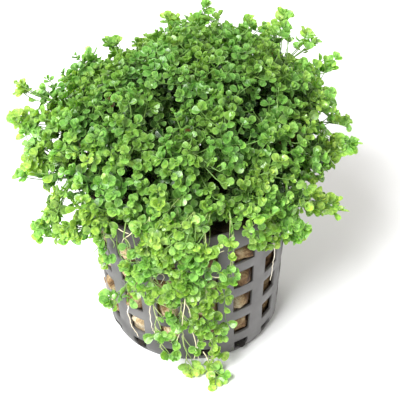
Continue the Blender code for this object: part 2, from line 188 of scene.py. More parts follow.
# Tufts of shoots that stand out of the mound: where their tips are, how many, and how spread (mm)
SPRAYS = [
    (-38.8, 8.5, 63.6, 5, 2.0), (-39.9, 3.0, 58.0, 5, 1.8), (-36.5, 2.0, 58.0, 4, 2.4),
    (-36.5, -4.0, 56.5, 5, 2.6), (-40.6, -6.0, 49.0, 3, 1.4), (-36.0, -8.0, 52.3, 4, 2.2),
    (-34.0, -14.5, 42.5, 6, 2.5),
    (-35.0, -16.0, 39.3, 4, 1.8), (-31.5, -17.5, 38.8, 6, 2.0), (-27.5, -18.5, 41.0, 6, 2.2),
    (-28.3, 14.0, 61.7, 3, 1.4), (-22.3, 24.5, 62.0, 5, 2.0), (-17.5, 27.0, 64.3, 6, 2.0),
    (-11.0, 31.0, 62.0, 5, 2.6), (-3.2, 34.0, 66.2, 6, 2.2), (3.9, 36.8, 65.8, 5, 2.0),
    (7.0, 38.0, 67.3, 5, 1.6), (12.0, 36.5, 64.0, 4, 2.2), (17.6, 36.5, 62.8, 4, 2.2),
    (23.1, 34.5, 63.0, 3, 2.0), (25.8, 35.0, 65.6, 3, 1.6), (30.5, 30.5, 62.6, 2, 1.2),
    (33.0, 30.0, 60.8, 3, 1.8), (37.0, 25.0, 57.0, 5, 1.8), (36.0, 10.5, 52.0, 5, 2.4),
    (40.0, 8.0, 50.4, 2, 1.0), (38.4, 1.0, 50.2, 2, 0.8), (39.5, 0.5, 48.8, 3, 1.4),
    (37.0, -1.0, 47.6, 4, 2.0),
    (31.5, -13.0, 41.6, 5, 1.8), (34.5, -12.0, 39.8, 3, 1.6), (24.0, -19.5, 40.5, 7, 2.6),
    (26.8, -19.0, 37.6, 4, 1.8),
]

# Fringe of shoots from the mound's front down over the rim: angle round the pot (degrees), height
# and distance from the pot's wall (mm)
FRINGE_SEED = 77
FRINGE_COUNT = 50
FRINGE_TURNS = (-30.0, 5.0)
FRINGE_HEIGHTS = (36.0, 44.0)
FRINGE_STAND_OFF = (2.6, 6.0)

# Dark pockets with no leaves in their mouth: azimuth, elevation and angular radius, seen from
# the mound's centre, and how far from it they end
POCKETS = [
    (251, 51, 0.14), (252, 65, 0.11), (267, 48, 0.06), (280, 36, 0.05), (282, 23, 0.10), (234, 50, 0.06),
    (327, 50, 0.09), (330, 40, 0.12), (305, 34, 0.07), (290, 13, 0.06), (323, 25, 0.06), (312, 18, 0.05),
    (245, 31, 0.04),
]
POCKET_BOTTOM = 24.0 * MM
# The shoots leave the pot's rim free in two places at the front: angles round the pot, and
# heights at the rim's radius that a place hides from a view that slopes as the camera's does
RIM_GAPS = [(6.0, 34.0, 30.0 * MM, 45.0 * MM), (-44.0, -25.0, 37.5 * MM, 44.0 * MM)]
# How thin and yellow leaves grow, and how much painted light makes them lighter and paler, from
# 0 to 1: all the way below the first height, where they lie on the surface; below the second, by
# whether they hang in front of the pot or beside it; and above it by how far from the mound's
# middle they are
LYING_BELOW = 6.0 * MM
RIM_ROW = 42.0 * MM
FRONT_REACH = 21.0 * MM
FRONT_OUTLYING = 0.42
BESIDE_OUTLYING = 0.8
OUTLYING_FROM = 20 * MM
OUTLYING_BAND = 20 * MM
# Places in the photograph, in its pixels, where no leaf hides the pot or the background, and
# their radius: over the pot, at the mound's left edge, at its right edge and at its top
OPEN_SIGHTS = [
    (115, 244, 4), (133, 241, 4), (136, 260, 3), (116, 284, 5), (223, 260, 5), (158, 281, 6), (161, 308, 4),
    (168, 326, 4), (217, 309, 4), (180, 315, 3), (187, 338, 6), (158, 347, 5), (187, 356, 5), (121, 255, 4),
    (120, 275, 3), (124, 229, 5), (204, 354, 4), (240, 344, 7), (146, 318, 5), (138, 333, 6), (186, 308, 3),
    (35, 184, 7), (24, 190, 6), (30, 202, 7), (36, 213, 5), (5, 150, 7), (5, 172, 3), (20, 157, 2),
    (19, 102, 5), (36, 74, 6), (22, 68, 6), (38, 100, 2), (43, 124, 1), (55, 141, 2), (30, 137, 2),
    (47, 152, 2), (51, 172, 1), (64, 182, 2), (66, 201, 3), (45, 196, 3), (68, 218, 2), (91, 252, 5),
    (81, 228, 2), (90, 243, 3), (80, 46, 5), (90, 41, 4), (122, 46, 2), (103, 57, 1),
    (284, 48, 3), (291, 50, 3), (297, 55, 2), (295, 34, 3), (303, 18, 3), (335, 81, 6), (326, 78, 3),
    (346, 88, 5), (340, 99, 4), (322, 118, 3), (330, 126, 3), (339, 129, 3), (350, 135, 2), (345, 163, 6),
    (352, 178, 8), (336, 176, 6), (326, 182, 3), (345, 191, 5), (357, 156, 4), (318, 226, 5), (314, 238, 6),
    (304, 219, 2), (285, 246, 3), (298, 250, 4), (312, 201, 1),
    (230, 18, 3), (223, 20, 2), (238, 20, 2), (155, 22, 4), (149, 29, 3), (185, 13, 2), (258, 20, 2),
    (215, 2, 3), (196, 8, 3), (268, 18, 2), (130, 34, 4),
]
# How much further than that radius the middles of leaves and the points of thin stems stay away
LEAF_PIXELS = 3.5
STEM_PIXELS = 1.0
# How far leaves and stems stand off the pot and the surface, and how far behind the outside of
# the pot's wall they are still moved out of it
CLEARANCE = 0.25 * MM
ROOT_CLEARANCE = 0.1 * MM
BEHIND_WALL = 4 * MM
# Leaves turn from facing off the pot's wall to facing up, from half of this distance from the
# wall to one and a half of it; how much they face up at first, and how much more at the end
LYING_STAND_OFF = 6 * MM
BESIDE_LIFT = 0.35
LYING_LIFT = 1.5

# Leaves: length, and its share in the middle of the mound; width, depth of the cup and curl of
# the tip as shares of the length, each between two values
LEAF_LENGTH = 2.45 * MM
CENTRE_LEAF_SHARE = 0.84
LEAF_WIDTHS = (0.76, 0.98)
LEAF_CUPS = (0.08, 0.50)
LEAF_CURLS = (-0.28, 0.12)
LEAF_THICKNESS = 0.16 * MM
# Shares of the thickness above and below the blade, and how far its middle sinks as a share of
# the cup
LEAF_ABOVE = 0.35
LEAF_BELOW = 0.65
LEAF_SAG = 0.3
# How much the size varies from stem to stem, from pair to pair and from leaf to leaf
STEM_SIZES = (0.85, 1.12)
PAIR_SIZES = (0.85, 1.15)
LEAF_SIZES = (0.86, 1.12)
# How much of a leaf's shade is random tone; the rest is how outlying it is, which sets its painted light
RANDOM_SHADE = 0.35
# Leaf pairs back from a shoot's tip: distance from the tip, size, and how steeply they rise
TIP_PAIRS = [
    (0.08 * MM, 0.45, (0.85, 1.25)), (0.40 * MM, 0.80, (0.45, 0.95)), (1.0 * MM, 1.0, (0.10, 0.65)),
]
# The same on the tufts that stand out of the mound and on the side shoots over the pot
SPRAY_PAIRS = [
    (0.10 * MM, 0.55, (0.60, 1.10)), (0.60 * MM, 0.95, (0.20, 0.70)), (1.7 * MM, 1.1, (0.0, 0.50)),
]
SIDE_PAIRS = [(0.1 * MM, 0.6, (0.6, 1.1)), (0.5 * MM, 1.0, (0.1, 0.6))]
# The pairs further back: how steeply they rise, how much their distance varies, the part of a
# stem's start that stays bare, and how much older each pair is than the next one out
LOWER_RISES = (-0.15, 0.55)
GAP_SPREAD = (0.7, 1.3)
BARE_START = 0.6 * MM
AGE_STEP = 0.12
# How much the way that a pair faces varies, and how far the pair is turned about that way. Where
# the sine of the angle between that way and the stem is below the last, it may lie in any direction
FACING_SPREAD = 0.55
PAIR_TURNS = (-0.5, 0.5)
END_ON = 0.25
# The way that the leaves of outlying tufts turn, to the light
LIGHTWARD = Vector((-0.15, -0.55, 0.82))
# Age of the youngest leaves of an outer shoot: that level with the clump's face, the highest, the
# depth below the face that adds 1 to it, and what it is multiplied by; and that of other shoots
LEVEL_AGE = 0.10
DEEPEST_AGE = 0.45
DEPTH_OF_AGE = 20 * MM
AGE_SPREAD = (0.6, 1.3)
INNER_AGE = 0.62
WITHERED_AGE = 1.2
TUFT_AGE = 0.1
SIDE_AGES = (0.0, 0.3)
# Side shoots over the pot: size of their leaves, how far they head along the stem, sideways and
# outwards, and how far they go as shares of their reach
SIDE_SIZES = (0.9, 1.15)
SIDE_WAYS = ((0.2, 1.0), (0.2, 1.0), (0.1, 0.7))
SIDE_LENGTHS = (0.5, 1.1)


class Shoot(NamedTuple):
    """One kind of shoot. The way that it arrives at its tip is a mix of outward, upward and a
    random way (wander). It leaves an older stem about its reach from the tip. It has leaf pairs
    close to its tip and more pairs behind them, a gap apart."""
    outward: float = 0.0
    upward: float = 0.0
    wander: float = 0.0
    reach: float = 0.0
    steps: int = 0
    radii: tuple = (0.14 * MM, 0.09 * MM)
    stem_age: float = 0.0
    tip_pairs: list = TIP_PAIRS
    more_pairs: int = 0
    gap: float = 0.0
    # From 0, where leaves are set by the stem, to 1, where they are set by the way they face
    follow: float = 0.35
    oldest: float = 0.85
    # Whether it is left out where it would show bare in an open place
    hides: bool = False


LEADER = Shoot(0.75, 0.35, 0.45, steps=12, radii=(0.20 * MM, 0.11 * MM), stem_age=0.3, more_pairs=6,
               gap=2.6 * MM)
OUTER = Shoot(0.75, 0.35, 0.45, 9 * MM, 6, stem_age=0.2, more_pairs=2, gap=1.9 * MM, hides=True)
INNER = Shoot(0.6, 0.4, 0.7, 6 * MM, 4, stem_age=0.3, more_pairs=1, gap=2.0 * MM, oldest=0.9, hides=True)
WITHERED = INNER._replace(oldest=1.0)
TUFT = Shoot(0.8, 0.3, 0.4, 12 * MM, 8, (0.17 * MM, 0.11 * MM), 0.1, SPRAY_PAIRS, 3, 2.3 * MM, 0.6)
FRINGE = Shoot(0.5, -0.7, 0.5, 10 * MM, 8, stem_age=0.4, more_pairs=2, gap=2.0 * MM, follow=0.6)
TRAILING_STEM = Shoot(radii=(0.19 * MM, 0.12 * MM), more_pairs=6, gap=5.0 * MM, follow=0.8, oldest=0.5)
SIDE_TIP = Shoot(0.8, -0.3, 0.35, 4.5 * MM, 6, stem_age=0.6, tip_pairs=SIDE_PAIRS, gap=2.2 * MM,
                 follow=0.6, oldest=0.55)
SIDE_SHOOT = SIDE_TIP._replace(outward=0.6, upward=0.5, wander=0.3, steps=5, stem_age=0.5, more_pairs=1)

# Stems over the front of the pot, with the routes of the solid model, but for the sixth, which
# runs up to 4 degrees left of its solid: angle round the pot, height, distance from its wall
TRAILING = {
    "trailing_stem_1": [(-46, 40.4, 2.4), (-49.5, 37, 2.6), (-52, 33, 2.6), (-51, 28.5, 2.4)],
    "trailing_stem_2": [
        (-33, 41.8, 2.3), (-32.5, 36, 2.4), (-33.5, 30, 2.5), (-37, 25, 2.7), (-44, 20.5, 2.9),
        (-55, 15.5, 3.2)],
    "trailing_stem_3": [
        (-20.5, 42.8, 2.8), (-20.5, 31, 3.0), (-20.5, 21, 2.8), (-22, 13, 2.4), (-21, 6, 2.4)],
    "trailing_stem_4": [
        (-6.5, 43.2, 2.8), (-6.5, 29, 3.2), (-6.5, 18, 2.8), (-6.5, 9, 2.6), (-5, 3.2, 3.6),
        (-3.5, 1.4, 5.6)],
    "trailing_stem_5": [
        (7.5, 43.2, 2.8), (7.5, 29, 3.2), (8, 18, 2.8), (8.5, 9, 2.6), (9, 3.2, 3.6), (9, 1.4, 6.2),
        (9, 1.4, 8.8)],
    "trailing_stem_6": [(21, 43.2, 2.8), (19.5, 34, 3.2), (18, 27, 2.8), (17.5, 20, 2.5), (18, 14, 2.4)],
    "trailing_stem_7": [(43, 41.4, 3.2), (49, 38.5, 3.8), (55, 36, 4.6), (62, 33.5, 5.4)],
}
# Where the tips of their side shoots are, on each stem from the top down
SIDE_TIPS = {
    "trailing_stem_1": [
        (-42, 44, 3), (-39, 41, 3.5), (-41, 37, 3), (-46.5, 38, 4), (-45, 36, 4), (-44, 34, 3.5),
        (-53, 31.5, 3)],
    "trailing_stem_2": [
        (-26, 45.5, 3), (-25.5, 43, 3), (-29.5, 39, 3.5), (-25.5, 35, 4), (-29.5, 34, 4), (-32.5, 30, 3.5),
        (-26.5, 31, 4.5), (-23, 29.5, 5), (-33.5, 26, 3.5), (-29.5, 26, 4), (-36.5, 21, 3), (-44, 21, 3),
        (-49, 15.5, 3.5)],
    "trailing_stem_3": [
        (-18, 45, 4), (-14.5, 45, 5), (-11.5, 43.5, 5), (-15.5, 41.5, 4.5), (-20.5, 40.5, 4), (-20, 37.5, 5),
        (-17.5, 38.5, 4), (-14.5, 37, 3.5), (-18, 34, 4), (-21, 33.5, 4), (-14.5, 28, 3.5), (-11.5, 26, 4),
        (-22.5, 25, 3), (-19, 23.5, 4), (-10, 21, 4.5), (-16.5, 19, 4), (-8.5, 16.5, 4), (-18.5, 14.5, 4.5),
        (-14, 13.5, 5), (-21, 11.5, 4), (-16, 11, 5), (-11.5, 11, 4.5), (-13, 7.5, 5), (-10, 6.5, 5)],
    "trailing_stem_4": [
        (-5.5, 48, 4), (-2.5, 47, 4), (0.5, 49.5, 4), (-3, 43.5, 5), (-6, 42, 5), (-2.5, 38.5, 5),
        (-5.5, 36, 5), (-11, 35, 4), (-6, 33, 5), (-2.5, 32.5, 5), (-13, 31, 4), (-1, 30.5, 5),
        (-9.5, 29, 4.5), (-4.5, 29, 5), (0, 26.5, 5), (-8.5, 25, 4), (-3, 18, 5), (-1, 16, 5),
        (-5, 10, 5.5), (-1, 9.5, 5), (-2, 2.5, 2.5), (0.5, 1.6, 5.2)],
    "trailing_stem_5": [
        (6.5, 42.5, 4), (8, 41, 4.5), (3.5, 40.5, 5), (9.5, 39, 4), (3, 38.5, 5), (2, 36, 5), (5.5, 31.5, 4),
        (8.5, 31, 4.5), (12.5, 30, 4.5), (8, 27.5, 5), (5.5, 25, 5), (12.5, 24.5, 4), (16.5, 25.5, 4),
        (2.5, 23.5, 5), (5, 22, 5), (9, 22, 4.5), (2, 19, 5), (11, 18, 4.5), (4.5, 16, 5), (12.5, 15.5, 4.5),
        (15, 12.5, 4.5), (2.5, 11.5, 5), (9, 11, 5), (1, 10, 5), (10.5, 8.5, 5), (12, 7, 5.5), (7, 3, 3),
        (5.5, 1.6, 5.5), (12.5, 1.6, 5), (12.5, 1.5, 8), (6.5, 1.5, 9.3)],
    "trailing_stem_6": [
        (17, 43.5, 5), (12.5, 43, 5), (16.5, 39.5, 5), (16.5, 34.5, 5), (20.5, 32.5, 5), (19, 30.5, 5),
        (13, 29.5, 3.5)],
    "trailing_stem_7": [
        (36, 41, 4), (40.5, 38.5, 4.5), (33, 39.5, 4), (38, 42.5, 4), (41.5, 41.5, 5), (34.5, 45, 4),
        (37, 47, 5), (44.5, 42, 5), (26.5, 45, 4), (29, 42, 4), (38, 36.5, 4), (29.5, 49.5, 5),
        (27, 48.5, 4.5), (35.5, 42, 5), (32.5, 40.5, 4.6), (45, 39.5, 6), (50, 36, 6), (45, 36, 5)],
}
# More side shoots, at random: from where to where along the stem, how many, how far they reach (mm)
SIDE_SHOOTS = {
    "trailing_stem_1": [(0.0, 0.8, 4, 3.0)],
    "trailing_stem_2": [(0.0, 0.3, 5, 3.5), (0.85, 1.0, 3, 2.2)],
    "trailing_stem_3": [(0.0, 0.4, 16, 4.5)],
    "trailing_stem_4": [(0.0, 0.45, 22, 4.5)],
    "trailing_stem_5": [(0.0, 0.4, 12, 4.0)],
    "trailing_stem_6": [],
    "trailing_stem_7": [(0.0, 1.0, 14, 3.6)],
}

# Bare pale shoots that hang among the leafy ones, made in the piece of the stem named here
BARE_SHOOTS = {
    "trailing_stem_2": [
        [(-38, 43, 2), (-34.5, 42.5, 2), (-31, 42.5, 2)],
        [(-27.5, 44, 2.4), (-31, 42, 2.2), (-35, 40, 2), (-38, 37, 1.6)],
        [(-28.5, 37, 3), (-25, 38, 3.2), (-22.5, 38.5, 3)]],
    "trailing_stem_3": [
        [(-23, 25, 1.4), (-22, 28, 1.6), (-19, 30.5, 1.6), (-16, 31.5, 1.6), (-14.5, 30.5, 1.6),
         (-17, 28, 1.4)]],
    "trailing_stem_4": [
        [(-3.5, 27, 5), (-4, 24.5, 5.2), (-5, 21.5, 5.2), (-6, 17.5, 5), (-8, 14, 4.6), (-10, 11, 4.2)],
        [(-3.5, 25, 4.6), (-2, 23, 4.6), (-1.5, 20, 4.4)]],
    "trailing_stem_5": [
        [(-1, 16, 5), (0, 13.5, 5.2), (0.5, 11, 5.2), (0, 8.5, 5.4), (-1, 6.5, 5.6)],
        [(9.5, 39.5, 4), (12, 40, 4.4), (15, 40.5, 4.6)], [(8.5, 33, 4), (11, 32.5, 4.4), (14, 32.5, 4.8)],
        [(4, 8.5, 5), (5.5, 7, 5.4), (6.5, 5, 5.6)]],
}
BARE_RADII = (0.14 * MM, 0.10 * MM)
BARE_AGE = 1.4
# How old the trailing stems look, those that aren't listed the middle age
MIDDLE_AGE = 0.6
STEM_AGES = {"trailing_stem_1": 0.1, "trailing_stem_2": 0.0, "trailing_stem_6": 0.0, "trailing_stem_7": 0.2}

# Bare roots out of the windows, with the routes of the solid model
ROOTS = {
    "root_1": [(-20, 25, -1.4), (-24, 22.5, 0.9), (-26.5, 16, 1.0), (-26, 11, 0.9), (-23.5, 9, 0.8)],
    "root_2": [(-40, 17.5, -1.4), (-43, 15, 0.9), (-42, 9.5, 1.0), (-38, 6, 0.8)],
    "root_3": [(5, 9.4, -1.4), (1.5, 7.5, 0.9), (1, 4, 0.9), (2, 1, 1.6)],
    "root_4": [(56, 33.5, -1.4), (53, 31, 0.9), (53.5, 25.5, 1.0), (52, 20, 0.9)],
}
ROOT_RADIUS = 0.18 * MM
ROOT_TAPER = 0.55
# Points on a smooth curve for each point of a route
STEM_ROUTE_STEPS = 6
BARE_ROUTE_STEPS = 5
ROOT_ROUTE_STEPS = 7
# How far points of roots and of trailing stems are off their routes, and the tips of side shoots
# off their places
ROOT_WANDER = 0.14 * MM
STEM_WANDER = 0.4 * MM
TIP_WANDER = 0.3 * MM


def clamp(value):
    """The value, kept from 0 to 1."""
    return min(1.0, max(0.0, value))


def pot_outer_radius(height):
    """Radius of the pot's outside: a short sloping foot, then an even taper to the rim."""
    if height < BELLY_HEIGHT:
        return FOOT_RADIUS + (BELLY_RADIUS - FOOT_RADIUS) * max(height, 0.0) / BELLY_HEIGHT
    share = (height - BELLY_HEIGHT) / (POT_HEIGHT - BELLY_HEIGHT)
    return BELLY_RADIUS + (RIM_RADIUS - BELLY_RADIUS) * share


def beside_pot(turn, height, stand_off):
    """A point beside the pot: degrees from its front, height and distance from its wall in mm."""
    radius = pot_outer_radius(height * MM) + stand_off * MM
    angle = math.radians(turn)
    return Vector((radius * math.sin(angle), -radius * math.cos(angle), height * MM))


def smooth_route(route, steps):
    """Points on one smooth curve through a route beside the pot."""
    points = [beside_pot(*spot) for spot in route]
    ends = [2 * points[0] - points[1]] + points + [2 * points[-1] - points[-2]]
    found = []
    for before, first, second, after in zip(ends, ends[1:], ends[2:], ends[3:]):
        for step in range(steps):
            t = step / steps
            curve = 2 * first + (second - before) * t
            curve += (2 * before - 5 * first + 4 * second - after) * t ** 2
            curve += (3 * first - before - 3 * second + after) * t ** 3
            found.append(curve / 2)
    return found + [points[-1]]


def direction(azimuth, elevation):
    """Unit vector with its azimuth from +X towards +Y and its elevation above level, in degrees."""
    turn = math.radians(azimuth)
    rise = math.radians(elevation)
    return Vector((math.cos(rise) * math.cos(turn), math.cos(rise) * math.sin(turn), math.sin(rise)))


def random_vector(draw):
    return Vector([draw.uniform(-1, 1) for _ in range(3)])


def add_object(name, mesh, *materials):
    """Puts a mesh with its materials in the scene."""
    for material in materials:
        mesh.materials.append(material)
    piece = bpy.data.objects.new(name, mesh)
    bpy.context.scene.collection.objects.link(piece)
    return piece


class Growth:
    """Leaves and stems of one piece, gathered before they become one mesh."""

    # Along a blade and across it, as shares of its length and width
    LEAF_STATIONS = [(0.11, 0.14), (0.30, 0.66), (0.54, 0.97), (0.78, 0.93), (0.94, 0.52)]
    STEM_SIDES = 5
    # A way that no stem runs in for long, to set the corners of its rings by
    ASIDE = np.array([0.31, 0.87, 0.38])

    def __init__(self, keep_open=False):
        self.leaves = []
        self.stems = []
        self.keep_open = keep_open

    def leaf(self, base, along, facing, length, age, shade, cup, curl, width):
        middle = base + along * length / 2
        if self.keep_open and (in_pocket(middle) or in_rim_gap(middle)):
            return
        self.leaves.append((*base, *along, *facing, length, age, shade, cup, curl, width))

    def stem(self, points, first_radius, last_radius, age):
        self.stems.append((points, first_radius, last_radius, age))

    def leaf_template(self):
        """Corners of one leaf as (along, across, above), its faces, and how many corners are rim."""
        corners = [(0.0, 0.0, 0.0)]
        corners += [(along, half / 2, 0.0) for along, half in self.LEAF_STATIONS]
        corners.append((1.0, 0.0, 0.0))
        corners += [(along, -half / 2, 0.0) for along, half in reversed(self.LEAF_STATIONS)]
        rim = len(corners)
        stations = len(self.LEAF_STATIONS)
        corners += [(along, 0.0, 1.0) for along, half in self.LEAF_STATIONS]
        corners.append((0.5, 0.0, -1.0))
        left = list(range(0, stations + 2))
        right = [0] + list(range(rim - 1, stations, -1))
        middle = [0] + list(range(rim, rim + stations)) + [stations + 1]
        faces = []
        for step in range(stations + 1):
            for side, flip in ((left, False), (right, True)):
                quad = [side[step], middle[step], middle[step + 1], side[step + 1]]
                quad = [corner for place, corner in enumerate(quad) if corner not in quad[:place]]
                if not flip:
                    quad.reverse()
                faces += [(quad[0], quad[i], quad[i + 1]) for i in range(1, len(quad) - 1)]
        under = len(corners) - 1
        faces += [(under, (corner + 1) % rim, corner) for corner in range(rim)]
        return np.array(corners), np.array(faces), rim

    def leaf_arrays(self):
        """Every leaf that hides no open place: corners, faces, tint, rim, midrib and flat place."""
        corners, faces, rim = self.leaf_template()
        data = np.array(self.leaves)
        data = data[is_clear(data[:, 0:3] + data[:, 3:6] * data[:, 9:10] / 2)]
        base, along, facing = data[:, 0:3], data[:, 3:6], data[:, 6:9]
        length, age, shade, cup, curl, width = (data[:, index:index + 1] for index in range(9, 15))
        side = np.cross(facing, along)
        x, y, z = corners.T
        across = width * y
        lift = cup * (4 * across ** 2 - LEAF_SAG * np.sin(np.pi * x)) + curl * x ** 2
        swelling = np.sin(np.pi * np.clip(x, 0.08, 0.95))
        thick = LEAF_THICKNESS * z * np.where(z > 0, LEAF_ABOVE, LEAF_BELOW) * swelling
        places = base[:, None, :] + along[:, None, :] * (length * x)[:, :, None]
        places += side[:, None, :] * (length * across)[:, :, None]
        places += facing[:, None, :] * (length * lift + thick)[:, :, None]
        count = len(corners)
        order = np.arange(count)
        tint = np.empty((len(data), count, 4))
        for channel, value in enumerate((age, shade, x, np.where(order < rim, 1.0, 0.0))):
            tint[:, :, channel] = value
        stations = len(self.LEAF_STATIONS)
        midrib = np.isin(order, (0, stations + 1)) | (order >= rim) & (order < rim + stations)
        faces = faces[None] + np.arange(len(data))[:, None, None] * count
        flat = np.tile(np.stack([x, y + 0.5], 1), (len(data), 1))
        is_rim, is_middle = np.tile(order < rim, len(data)), np.tile(midrib, len(data))
        return places.reshape(-1, 3), faces.reshape(-1, 3), tint.reshape(-1, 4), is_rim, is_middle, flat

    def stem_arrays(self):
        """Corners, faces and tint of every stem, as a closed tube."""
        places, faces, tint = [], [], []
        start = 0
        sides = self.STEM_SIDES
        turns = np.arange(sides) * 2 * np.pi / sides
        cosines, sines = np.cos(turns)[:, None], np.sin(turns)[:, None]
        for points, first_radius, last_radius, age in self.stems:
            line = np.array(points)
            count = len(line)
            tangent = np.gradient(line, axis=0)
            tangent /= np.linalg.norm(tangent, axis=1)[:, None]
            one = np.cross(tangent, self.ASIDE)
            one /= np.linalg.norm(one, axis=1)[:, None]
            two = np.cross(tangent, one)
            radius = np.linspace(first_radius, last_radius, count)[:, None, None]
            ring = one[:, None, :] * cosines + two[:, None, :] * sines
            places.append((line[:, None, :] + ring * radius).reshape(-1, 3))
            places.append(line[[0, -1]])
            index = start + np.arange(count * sides).reshape(count, sides)
            after = np.roll(index, -1, axis=1)
            quads = np.stack([index[:-1], after[:-1], after[1:], index[1:]], -1).reshape(-1, 4)
            faces.append(quads[:, [0, 1, 2]])
            faces.append(quads[:, [0, 2, 3]])
            low, high = start + count * sides, start + count * sides + 1
            faces.append(np.stack([np.full(sides, low), after[0], index[0]], -1))
            faces.append(np.stack([np.full(sides, high), index[-1], after[-1]], -1))
            colour = np.zeros((count * sides + 2, 4))
            colour[:, 0] = age
            colour[:count * sides, 2] = np.repeat(np.linspace(0, 1, count), sides)
            tint.append(colour)
            start += count * sides + 2
        return np.concatenate(places), np.concatenate(faces), np.concatenate(tint)

    def build(self, name, leaf_material, stem_material):
        """One mesh object of all stems and leaves, kept clear of the pot's wall and the floor."""
        places, faces, tint, is_rim, is_middle, flat = self.leaf_arrays()
        stem_places, stem_faces, stem_tint = self.stem_arrays()
        leaf_faces = len(faces)
        faces = np.concatenate([faces, stem_faces + len(places)])
        no_flags = np.zeros(len(stem_places), bool)
        is_rim = np.concatenate([is_rim, no_flags])
        is_middle = np.concatenate([is_middle, no_flags])
        flat = np.concatenate([flat, np.zeros((len(stem_places), 2))])
        places = keep_clear(np.concatenate([places, stem_places]))
        tint = np.concatenate([tint, stem_tint])
        mesh = bpy.data.meshes.new(name)
        mesh.vertices.add(len(places))
        mesh.vertices.foreach_set("co", places.astype(np.float32).ravel())
        mesh.loops.add(faces.size)
        mesh.loops.foreach_set("vertex_index", faces.astype(np.int32).ravel())
        mesh.polygons.add(len(faces))
        mesh.polygons.foreach_set("loop_start", np.arange(0, faces.size, 3, dtype=np.int32))
        mesh.polygons.foreach_set("material_index", (np.arange(len(faces)) >= leaf_faces).astype(np.int32))
        mesh.update(calc_edges=True)
        mesh.shade_smooth()
        edges = np.empty(len(mesh.edges) * 2, np.int32)
        mesh.edges.foreach_get("vertices", edges)
        sharp = mesh.attributes.new("sharp_edge", "BOOLEAN", "EDGE")
        ends = edges.reshape(-1, 2)
        sharp.data.foreach_set("value", is_rim[ends].all(axis=1) | is_middle[ends].all(axis=1))
        growth = mesh.color_attributes.new("growth", "FLOAT_COLOR", "POINT")
        growth.data.foreach_set("color", tint.astype(np.float32).ravel())
        layer = mesh.uv_layers.new(name="leaf")
        layer.data.foreach_set("uv", flat[faces.ravel()].astype(np.float32).ravel())
        return add_object(name, mesh, leaf_material, stem_material)


def is_clear(middles, margin=LEAF_PIXELS):
    """Which of these places leave the open places of the photograph free."""
    sight = (middles - np.array(CAMERA_PLACE)) @ CAMERA_AXES
    across = FRAME_PIXELS / 2 - FOCAL_PIXELS * sight[:, 0] / sight[:, 2]
    down = FRAME_PIXELS / 2 + FOCAL_PIXELS * sight[:, 1] / sight[:, 2]
    x, y, radius = np.array(OPEN_SIGHTS).T
    return (np.hypot(across[:, None] - x, down[:, None] - y) > radius + margin).all(axis=1)


def is_clear_tip(tip):
    return not in_rim_gap(tip) and not in_pocket(tip) and is_clear(np.array([tip]))[0]


def crosses_open_place(points):
    """Whether a thin stem would show bare in one of the open places."""
    return not is_clear(np.array([tuple(point) for point in points]), STEM_PIXELS).all()


def keep_clear(places):
    """Moves points in the pot's wall or close behind it out in front of it, points in the top of
    its rim above it, and points under the floor above that."""
    x, y, z = places.T.copy()
    radius = np.hypot(x, y)
    share = np.clip((z - BELLY_HEIGHT) / (POT_HEIGHT - BELLY_HEIGHT), 0, 1)
    outer = BELLY_RADIUS + (RIM_RADIUS - BELLY_RADIUS) * share + CLEARANCE
    beside = (z < POT_HEIGHT) & (radius < outer) & (radius > outer - BEHIND_WALL)
    grow = np.where(beside, outer / np.maximum(radius, MM), 1.0)
    over_rim = (z >= POT_HEIGHT) & (z < POT_HEIGHT + CLEARANCE)
    over_rim &= (radius < outer) & (radius > outer - 2 * CLEARANCE - POT_WALL)
    z = np.where(over_rim, POT_HEIGHT + CLEARANCE, z)
    return np.stack([x * grow, y * grow, np.maximum(z, CLEARANCE)], 1)


def add_leaf_pair(growth, draw, point, tangent, facing, node, length, age, rises, follow):
    """Two opposite leaves at a stem's node, at right angles to the pair before."""
    towards = (tangent * (1 - follow) + facing * follow + FACING_SPREAD * random_vector(draw)).normalized()
    side = tangent.cross(towards)
    flatness = min(1.0, side.length * 1.2)
    if side.length < END_ON:
        side = towards.orthogonal()
    side.normalize()
    front = towards.cross(side)
    if front.dot(tangent) < 0:
        front = -front
    turn = draw.uniform(*PAIR_TURNS)
    for hand in (-1, 1):
        if node % 2 == 0:
            along = hand * side + front * (turn * hand + 0.25 * flatness)
        else:
            along = (1 - flatness) * hand * front + flatness * (0.8 * front + 0.6 * hand * side)
            along = along + side * turn
        along.normalize()
        rise = draw.uniform(*rises)
        out = (along * math.cos(rise) + towards * math.sin(rise)).normalized()
        normal = (towards * math.cos(rise) - along * math.sin(rise)).normalized()
        size = length * draw.uniform(*LEAF_SIZES)
        shade = RANDOM_SHADE * draw.random() + (1 - RANDOM_SHADE) * outlying(point)
        shape = [draw.uniform(*limits) for limits in (LEAF_CUPS, LEAF_CURLS, LEAF_WIDTHS)]
        growth.leaf(point, out, normal, size, age, shade, *shape)


def outlying(point):
    """How far out of the mound's middle a leaf grows: thinner, yellower, and lit by painted light."""
    if point.z < LYING_BELOW:
        return 1.0
    if point.z < RIM_ROW:
        return FRONT_OUTLYING if abs(point.x) < FRONT_REACH else BESIDE_OUTLYING
    level = (point - MOUND_CENTRE).xy.length
    return clamp((level - OUTLYING_FROM) / OUTLYING_BAND)


def point_along(points, lengths, along):
    """The point a given length along a line, and the way that the line runs there."""
    index = max(place for place, length in enumerate(lengths[:-1]) if length <= along or place == 0)
    share = (along - lengths[index]) / max(1e-9, lengths[index + 1] - lengths[index])
    point = points[index].lerp(points[index + 1], share)
    return point, (points[index + 1] - points[index]).normalized()


